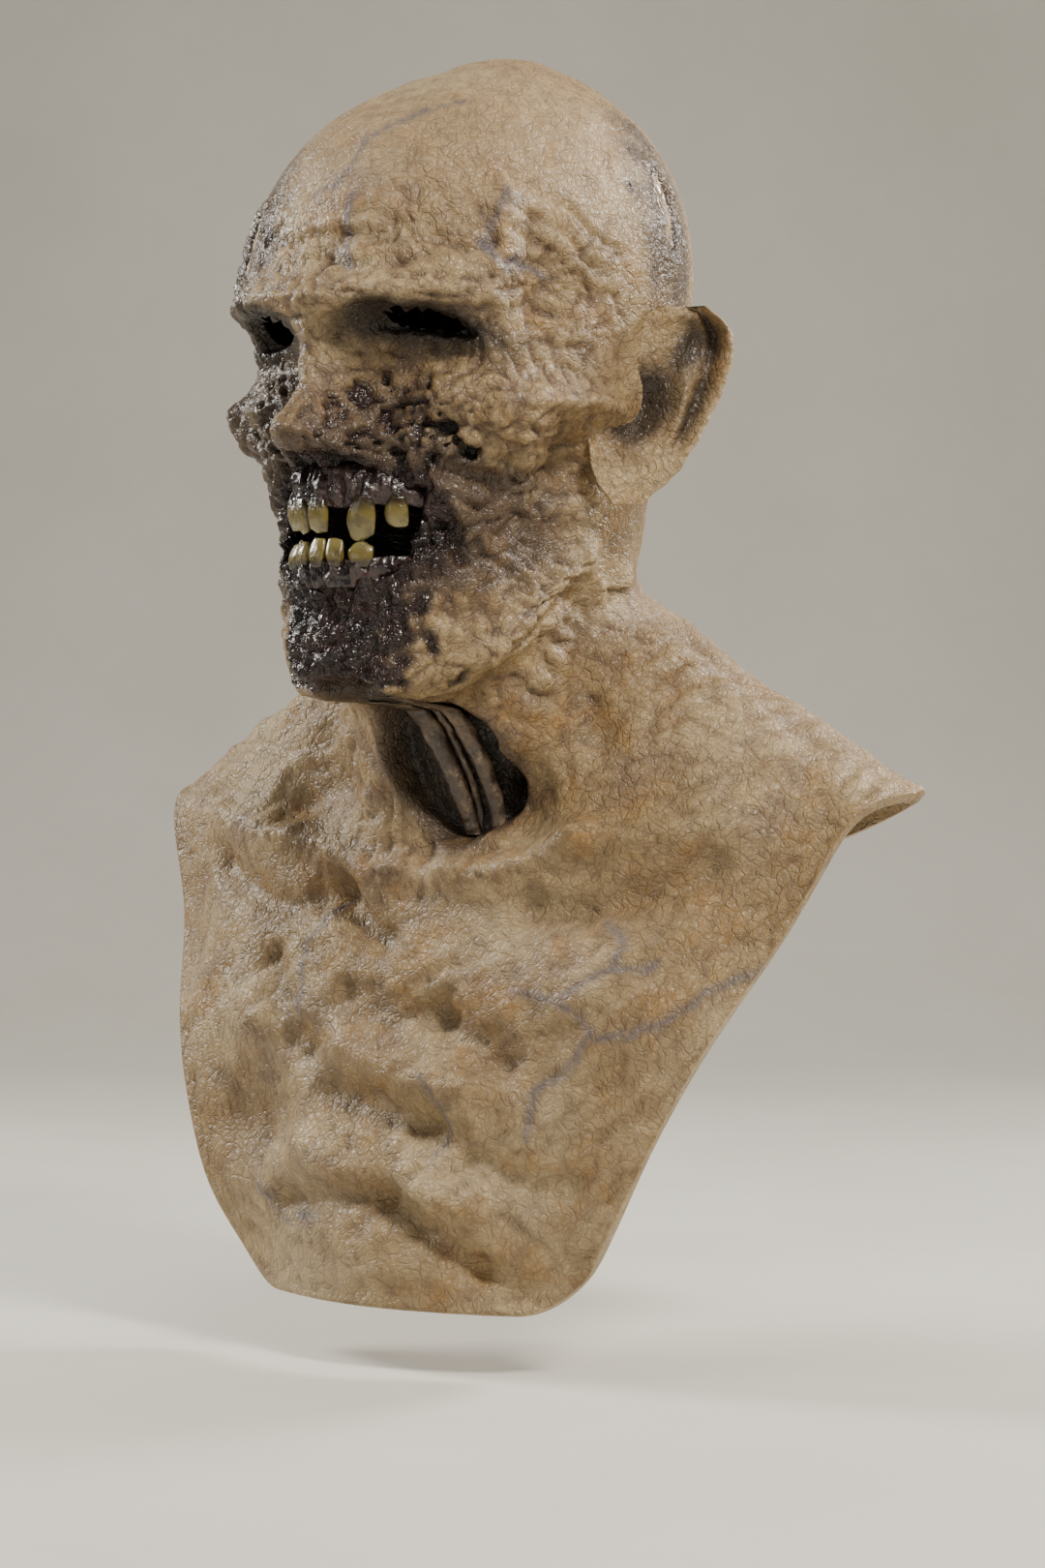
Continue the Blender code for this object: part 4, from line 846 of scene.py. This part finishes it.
# Blotches: soft noise pulled to patches between two limits.
def blotchGroup():
    tree, given, result = newGroup(
        "blotches",
        [("Vector", "NodeSocketVector", None), ("Scale", "NodeSocketFloat", 20.0),
         ("Low", "NodeSocketFloat", 0.45), ("High", "NodeSocketFloat", 0.65)],
        [("Mask", "NodeSocketFloat")])
    noise = put(tree, "ShaderNodeTexNoise", Detail=6.0, Roughness=0.62)
    node = put(tree, "ShaderNodeMapRange", interpolation_type="SMOOTHSTEP")
    for a, out, b, into in ((given, "Vector", noise, "Vector"), (given, "Scale", noise, "Scale"),
                            (noise, "Fac", node, "Value"), (given, "Low", node, "From Min"),
                            (given, "High", node, "From Max"), (node, "Result", result, "Mask")):
        join(tree, a, out, b, into)
    return tree


def placeGroup(tree, group, coords, **values):
    node = put(tree, "ShaderNodeGroup", node_tree=group)
    feed(tree, node, Vector=coords, **values)
    return node


def blotch(tree, coords, scale, low, high):
    return placeGroup(tree, groups["blotch"], coords, Scale=scale, Low=low, High=high).outputs["Mask"]


# One more colour over the last, as strong as its mask times its share.
def layer(tree, mask, share, below, colour):
    return mixColour(tree, math2(tree, "MULTIPLY", mask, share), below, colour)


# Sets inputs of the shader: a number as it is, anything else as a link.
def feed(tree, shader, **values):
    for key, value in values.items():
        socket = shader.inputs[key.replace("_", " ")]
        if isinstance(value, (int, float)):
            socket.default_value = value
        else:
            tree.links.new(value, socket)


# A mask times a factor, added to a starting value.
def scaled(tree, mask, factor, start):
    result = math2(tree, "MULTIPLY_ADD", mask, factor)
    result.node.inputs[2].default_value = start
    return result


# Skin colours; crease, stain and deep also serve as painted shade in creases, grooves, hollows and openings
skinLook = {
    "base": (0.31, 0.205, 0.092, 1), "light": (0.50, 0.375, 0.205, 1), "ochre": (0.36, 0.185, 0.045, 1),
    "plum": (0.13, 0.078, 0.066, 1), "olive": (0.17, 0.155, 0.08, 1), "pale": (0.54, 0.40, 0.265, 1),
    "crease": (0.085, 0.048, 0.03, 1), "vein": (0.115, 0.10, 0.115, 1), "stain": (0.050, 0.031, 0.023, 1),
    "wet": (0.009, 0.006, 0.006, 1), "wetRed": (0.030, 0.014, 0.012, 1), "deep": (0.012, 0.009, 0.007, 1),
    "roughness": 0.47, "wetRoughness": 0.20,
}


def newMaterial(name):
    material = bpy.data.materials.new(name)
    material.use_nodes = True
    tree = material.node_tree
    coords = tree.nodes.new("ShaderNodeTexCoord").outputs["Object"]
    return material, tree, tree.nodes["Principled BSDF"], coords


def markOf(tree, name):
    node = tree.nodes.new("ShaderNodeAttribute")
    node.attribute_name = name
    return node.outputs["Fac"]


def bumpChain(tree, shader, layers):
    last = None
    for height, distance, strength in layers:
        bump = tree.nodes.new("ShaderNodeBump")
        feed(tree, bump, Distance=distance, Strength=strength, Height=height)
        if last is not None:
            tree.links.new(last, bump.inputs["Normal"])
        last = bump.outputs["Normal"]
    tree.links.new(last, shader.inputs["Normal"])


def skinMaterial(name, marked=True):
    material, tree, shader, coords = newMaterial(name)
    look = skinLook
    wide = blotch(tree, coords, 14.0, 0.40, 0.66)
    warm = blotch(tree, coords, 52.0, 0.50, 0.68)
    cold = blotch(tree, coords, 27.0, 0.52, 0.72)
    green = blotch(tree, coords, 9.0, 0.50, 0.70)
    speck = blotch(tree, coords, 330.0, 0.40, 0.72)
    small = placeGroup(tree, groups["leather"], coords, Scale=560.0, Bend=0.0045)
    large = placeGroup(tree, groups["leather"], coords, Scale=210.0, Bend=0.011)
    colour = mixColour(tree, wide, look["base"], look["light"])
    colour = layer(tree, warm, 0.62, colour, look["ochre"])
    colour = layer(tree, cold, 0.62, colour, look["plum"])
    colour = layer(tree, green, 0.30, colour, look["olive"])
    if marked:
        colour = layer(tree, markOf(tree, "pale"), 0.42, colour, look["pale"])
    colour = layer(tree, speck, 0.34, colour, look["light"])
    # painted shade: the crackle lines are darkened with the crease colour
    lines = math2(tree, "MAXIMUM", small.outputs["Lines"], large.outputs["Lines"])
    colour = layer(tree, lines, 0.24, colour, look["crease"])
    roughness = scaled(tree, speck, -0.10, look["roughness"])
    heights = [(small.outputs["Cells"], 0.0006, 0.55), (small.outputs["Lines"], -0.0005, 0.55),
               (large.outputs["Lines"], -0.0007, 0.5)]
    # the inner face takes painted shade near black from its deep mark
    if not marked:
        colour = mixColour(tree, markOf(tree, "deep"), colour, look["deep"])
    else:
        names = ("crease", "wet", "vein", "stain", "deep")
        crease, wet, vein, stain, deep = (markOf(tree, key) for key in names)
        # painted shade: the crease mark darkens the creases and puckers
        colour = layer(tree, crease, 0.85, colour, look["crease"])
        colour = layer(tree, vein, 0.78, colour, look["vein"])
        # the stain mark holds real stains and painted shade in grooves, eye sockets and ear hollows
        broken = blotch(tree, coords, 75.0, 0.30, 0.62)
        patch = math2(tree, "MULTIPLY", math2(tree, "ADD", broken, 0.75), stain, True)
        colour = layer(tree, patch, 0.82, colour, look["stain"])
        colour = mixColour(tree, wet, colour, mixColour(tree, broken, look["wet"], look["wetRed"]))
        # painted shade: the deep mark paints recesses and the edges of openings near black
        colour = layer(tree, deep, 0.88, colour, look["deep"])
        node = tree.nodes.new("ShaderNodeMix")
        tree.links.new(math2(tree, "MAXIMUM", wet, math2(tree, "MULTIPLY", stain, 0.45)), node.inputs[0])
        tree.links.new(roughness, node.inputs[2])
        node.inputs[3].default_value = look["wetRoughness"]
        roughness = node.outputs[0]
    feed(tree, shader, Base_Color=colour, Roughness=roughness, Specular_IOR_Level=0.45)
    bumpChain(tree, shader, heights)
    return material


# Glossy flesh, bone and cords: dark, middle and pale colour, roughness and coat.
fleshLooks = {
    "wetGum": ((0.011, 0.006, 0.006, 1), (0.045, 0.019, 0.018, 1), (0.11, 0.070, 0.058, 1), 0.16, 0.35),
    "bareBone": ((0.13, 0.065, 0.015, 1), (0.40, 0.255, 0.075, 1), (0.66, 0.50, 0.25, 1), 0.22, 0.4),
    "driedCord": ((0.055, 0.036, 0.026, 1), (0.17, 0.12, 0.075, 1), (0.36, 0.27, 0.17, 1), 0.38, 0.15),
}


def fleshMaterial(name, dark, red, pale, rough, coat):
    material, tree, shader, coords = newMaterial(name)
    a = blotch(tree, coords, 95.0, 0.42, 0.66)
    b = blotch(tree, coords, 210.0, 0.56, 0.74)
    cells = placeGroup(tree, groups["leather"], coords, Scale=380.0, Bend=0.006)
    colour = mixColour(tree, a, dark, red)
    colour = layer(tree, b, 0.55, colour, pale)
    feed(tree, shader, Base_Color=colour, Roughness=scaled(tree, a, 0.18, rough),
         Coat_Weight=coat, Coat_Roughness=0.08)
    bumpChain(tree, shader, [(a, 0.0009, 0.6), (cells.outputs["Cells"], 0.0007, 0.5)])
    return material


toothLook = {"root": (0.028, 0.018, 0.009, 1), "body": (0.155, 0.118, 0.030, 1),
             "tip": (0.215, 0.175, 0.062, 1), "stain": (0.035, 0.022, 0.012, 1), "roughness": 0.17}


def toothMaterial(name):
    material, tree, shader, coords = newMaterial(name)
    age = markOf(tree, "age")
    blot = blotch(tree, coords, 150.0, 0.50, 0.66)
    streak = blotch(tree, coords, 420.0, 0.46, 0.70)
    colour = mixColour(tree, span(tree, age, 0.12, 0.42), toothLook["root"], toothLook["body"])
    colour = mixColour(tree, span(tree, age, 0.55, 0.95), colour, toothLook["tip"])
    colour = layer(tree, blot, 0.62, colour, toothLook["stain"])
    colour = layer(tree, streak, 0.22, colour, toothLook["body"])
    feed(tree, shader, Base_Color=colour, Coat_Weight=0.5,
         Roughness=scaled(tree, blot, 0.2, toothLook["roughness"]))
    bumpChain(tree, shader, [(streak, 0.0003, 0.4), (blot, 0.0004, 0.4)])
    return material


def main():
    say("materials")
    groups["leather"], groups["blotch"] = leatherGroup(), blotchGroup()
    skin, inside = skinMaterial("paintedSilicone"), skinMaterial("innerSilicone", False)
    gum, bone, cord = (fleshMaterial(name, *look) for name, look in fleshLooks.items())
    tooth = toothMaterial("oldTooth")

    say("outer skin")
    outer, keep, marks, ringsDown, angles = outerSkin()
    tip = outer[0].mean(0) + np.array([0, 0, 0.25])
    innerFull, innerKeep = innerSkin(angles, ringsDown)
    # the cut edge: the last ring turns in to the inner face
    share = np.array([0, 0.15, 0.85, 1])[:, None, None]
    rim = outer[-1] * (1 - share) + innerFull[-1] * share
    rim[1] += (outer[-1] - outer[-3]) * 0.12
    rim[2] += (outer[-1] - outer[-3]) * 0.12
    grid = np.concatenate([outer, rim[1:]])
    keepAll = np.concatenate([keep, np.ones((3, keep.shape[1]), bool)])
    marks = {key: np.concatenate([v, np.zeros((3, v.shape[1]))]) for key, v in marks.items()}
    piece = gridMesh("skinOuter", grid, wrap=True, keep=keepAll, marks=marks, pole=tip)
    finishPiece(piece, skin)
    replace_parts(piece, "mask_skin")

    say("inner skin")
    step, skip = maskSkin["innerStep"], maskSkin["innerSkip"]
    coarse, coarseKeep = (v[::-1][::step][::-1][:, ::skip] for v in (innerFull, innerKeep))
    # painted shade: the inside of the head above the neck is painted near black through the deep mark
    dark = ease(coarse[..., 2], -262, -235)
    lining = gridMesh("skinInner", coarse, wrap=True, flip=True, keep=coarseKeep,
                      pole=coarse[0].mean(0), marks={"deep": dark})
    finishPiece(lining, inside)
    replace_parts(lining, "mask_skin")

    say("ears")
    for name, side in (("earLeft", 1), ("earRight", -1)):
        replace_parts(makeEar(name, side, skin), "mask_skin")

    say("mouth")
    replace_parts(makeGum("upperGum", True, gum), "upper_gum")
    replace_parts(makeGum("lowerGum", False, gum), "lower_gum")
    for rows, up in ((upperTeeth, 1), (lowerTeeth, -1)):
        for name, place, width, length, lean, chip in rows:
            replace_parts(makeTooth(name + "_worn", place, width, length, lean, chip, up, tooth), name)

    say("bone and throat")
    for name, (deg, row, halfDeg, halfRow) in boneShapes.items():
        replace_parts(makeBone(name + "_worn", deg, row, halfDeg, halfRow, bone), name)
    for name, run in throatStrands.items():
        strand = makeStrand(name + "_worn", run, cord)
        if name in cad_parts:
            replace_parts(strand, name)


groups = {}
main()

# Floor, light and camera: the mask is shown as worn, a little above the floor.
shot = {"turn": 36.0, "rise": 1.0, "away": 1.5, "target": (0.0169, 0.0123, -0.2830),
        "lens": 87.7, "floorZ": -0.505}
say("floor, light and camera")


def makeFloor():
    t = np.linspace(0, 1, 40)
    y = np.concatenate([np.linspace(-3, 1.2, 12), 1.2 + 0.8 * np.sin(t * np.pi / 2), np.full(8, 2.0)])
    z = np.concatenate([np.zeros(12), 0.8 * (1 - np.cos(t * np.pi / 2)), np.linspace(0.85, 3, 8)])
    x = np.linspace(-3, 3, 8)
    grid = np.stack(np.broadcast_arrays(x[None], y[:, None], z[:, None] + shot["floorZ"]), -1) / mm
    turn = math.radians(shot["turn"])
    spin = np.array([[math.cos(turn), -math.sin(turn), 0], [math.sin(turn), math.cos(turn), 0], [0, 0, 1]])
    floor = gridMesh("studioFloor", grid @ spin.T, flip=True)
    material, tree, shader, coords = newMaterial("paleFloor")
    shade = blotch(tree, coords, 3.0, 0.3, 0.7)
    colour = mixColour(tree, shade, (0.62, 0.60, 0.54, 1), (0.68, 0.66, 0.60, 1))
    feed(tree, shader, Base_Color=colour, Roughness=0.8)
    floor.data.materials.append(material)


def addLight(name, azimuth, height, away, size, power, colour):
    a = math.radians(azimuth)
    data = bpy.data.lights.new(name, "AREA")
    data.shape, data.size, data.energy, data.color = "DISK", size, power, colour
    light = bpy.data.objects.new(name, data)
    middle = Vector((0, 0, -0.22))
    light.location = middle + Vector((math.sin(a) * away, -math.cos(a) * away, height))
    light.rotation_euler = (middle - light.location).to_track_quat("-Z", "Y").to_euler()
    bpy.context.scene.collection.objects.link(light)


makeFloor()
# name, azimuth, height, distance, size, power, colour
for row in (("keyLight", 72, 1.05, 1.15, 0.35, 27, (1, 0.94, 0.84)),
            ("frontFill", -5, 0.30, 1.8, 0.9, 3.2, (0.95, 0.97, 1)),
            ("leftRim", -75, 0.55, 1.1, 0.4, 17, (1, 0.97, 0.9)),
            ("rightRim", 148, 0.6, 1.1, 0.4, 17, (1, 0.97, 0.92)),
            ("topSoft", 20, 1.5, 0.4, 0.7, 5.5, (1, 0.97, 0.92))):
    addLight(*row)
world = bpy.data.worlds.new("studioWorld")
world.use_nodes = True
world.node_tree.nodes["Background"].inputs[0].default_value = (0.9, 0.88, 0.82, 1)
world.node_tree.nodes["Background"].inputs[1].default_value = 0.14
bpy.context.scene.world = world

camera = bpy.data.objects.new("camera", bpy.data.cameras.new("camera"))
turn, rise = math.radians(shot["turn"]), math.radians(shot["rise"])
target = Vector(shot["target"])
back = Vector((math.sin(turn) * math.cos(rise), -math.cos(turn) * math.cos(rise), math.sin(rise)))
camera.location = target + back * shot["away"]
camera.rotation_euler = (-back).to_track_quat("-Z", "Y").to_euler()
camera.data.lens = shot["lens"]
bpy.context.scene.collection.objects.link(camera)
bpy.context.scene.camera = camera

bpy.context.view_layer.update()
say("done")
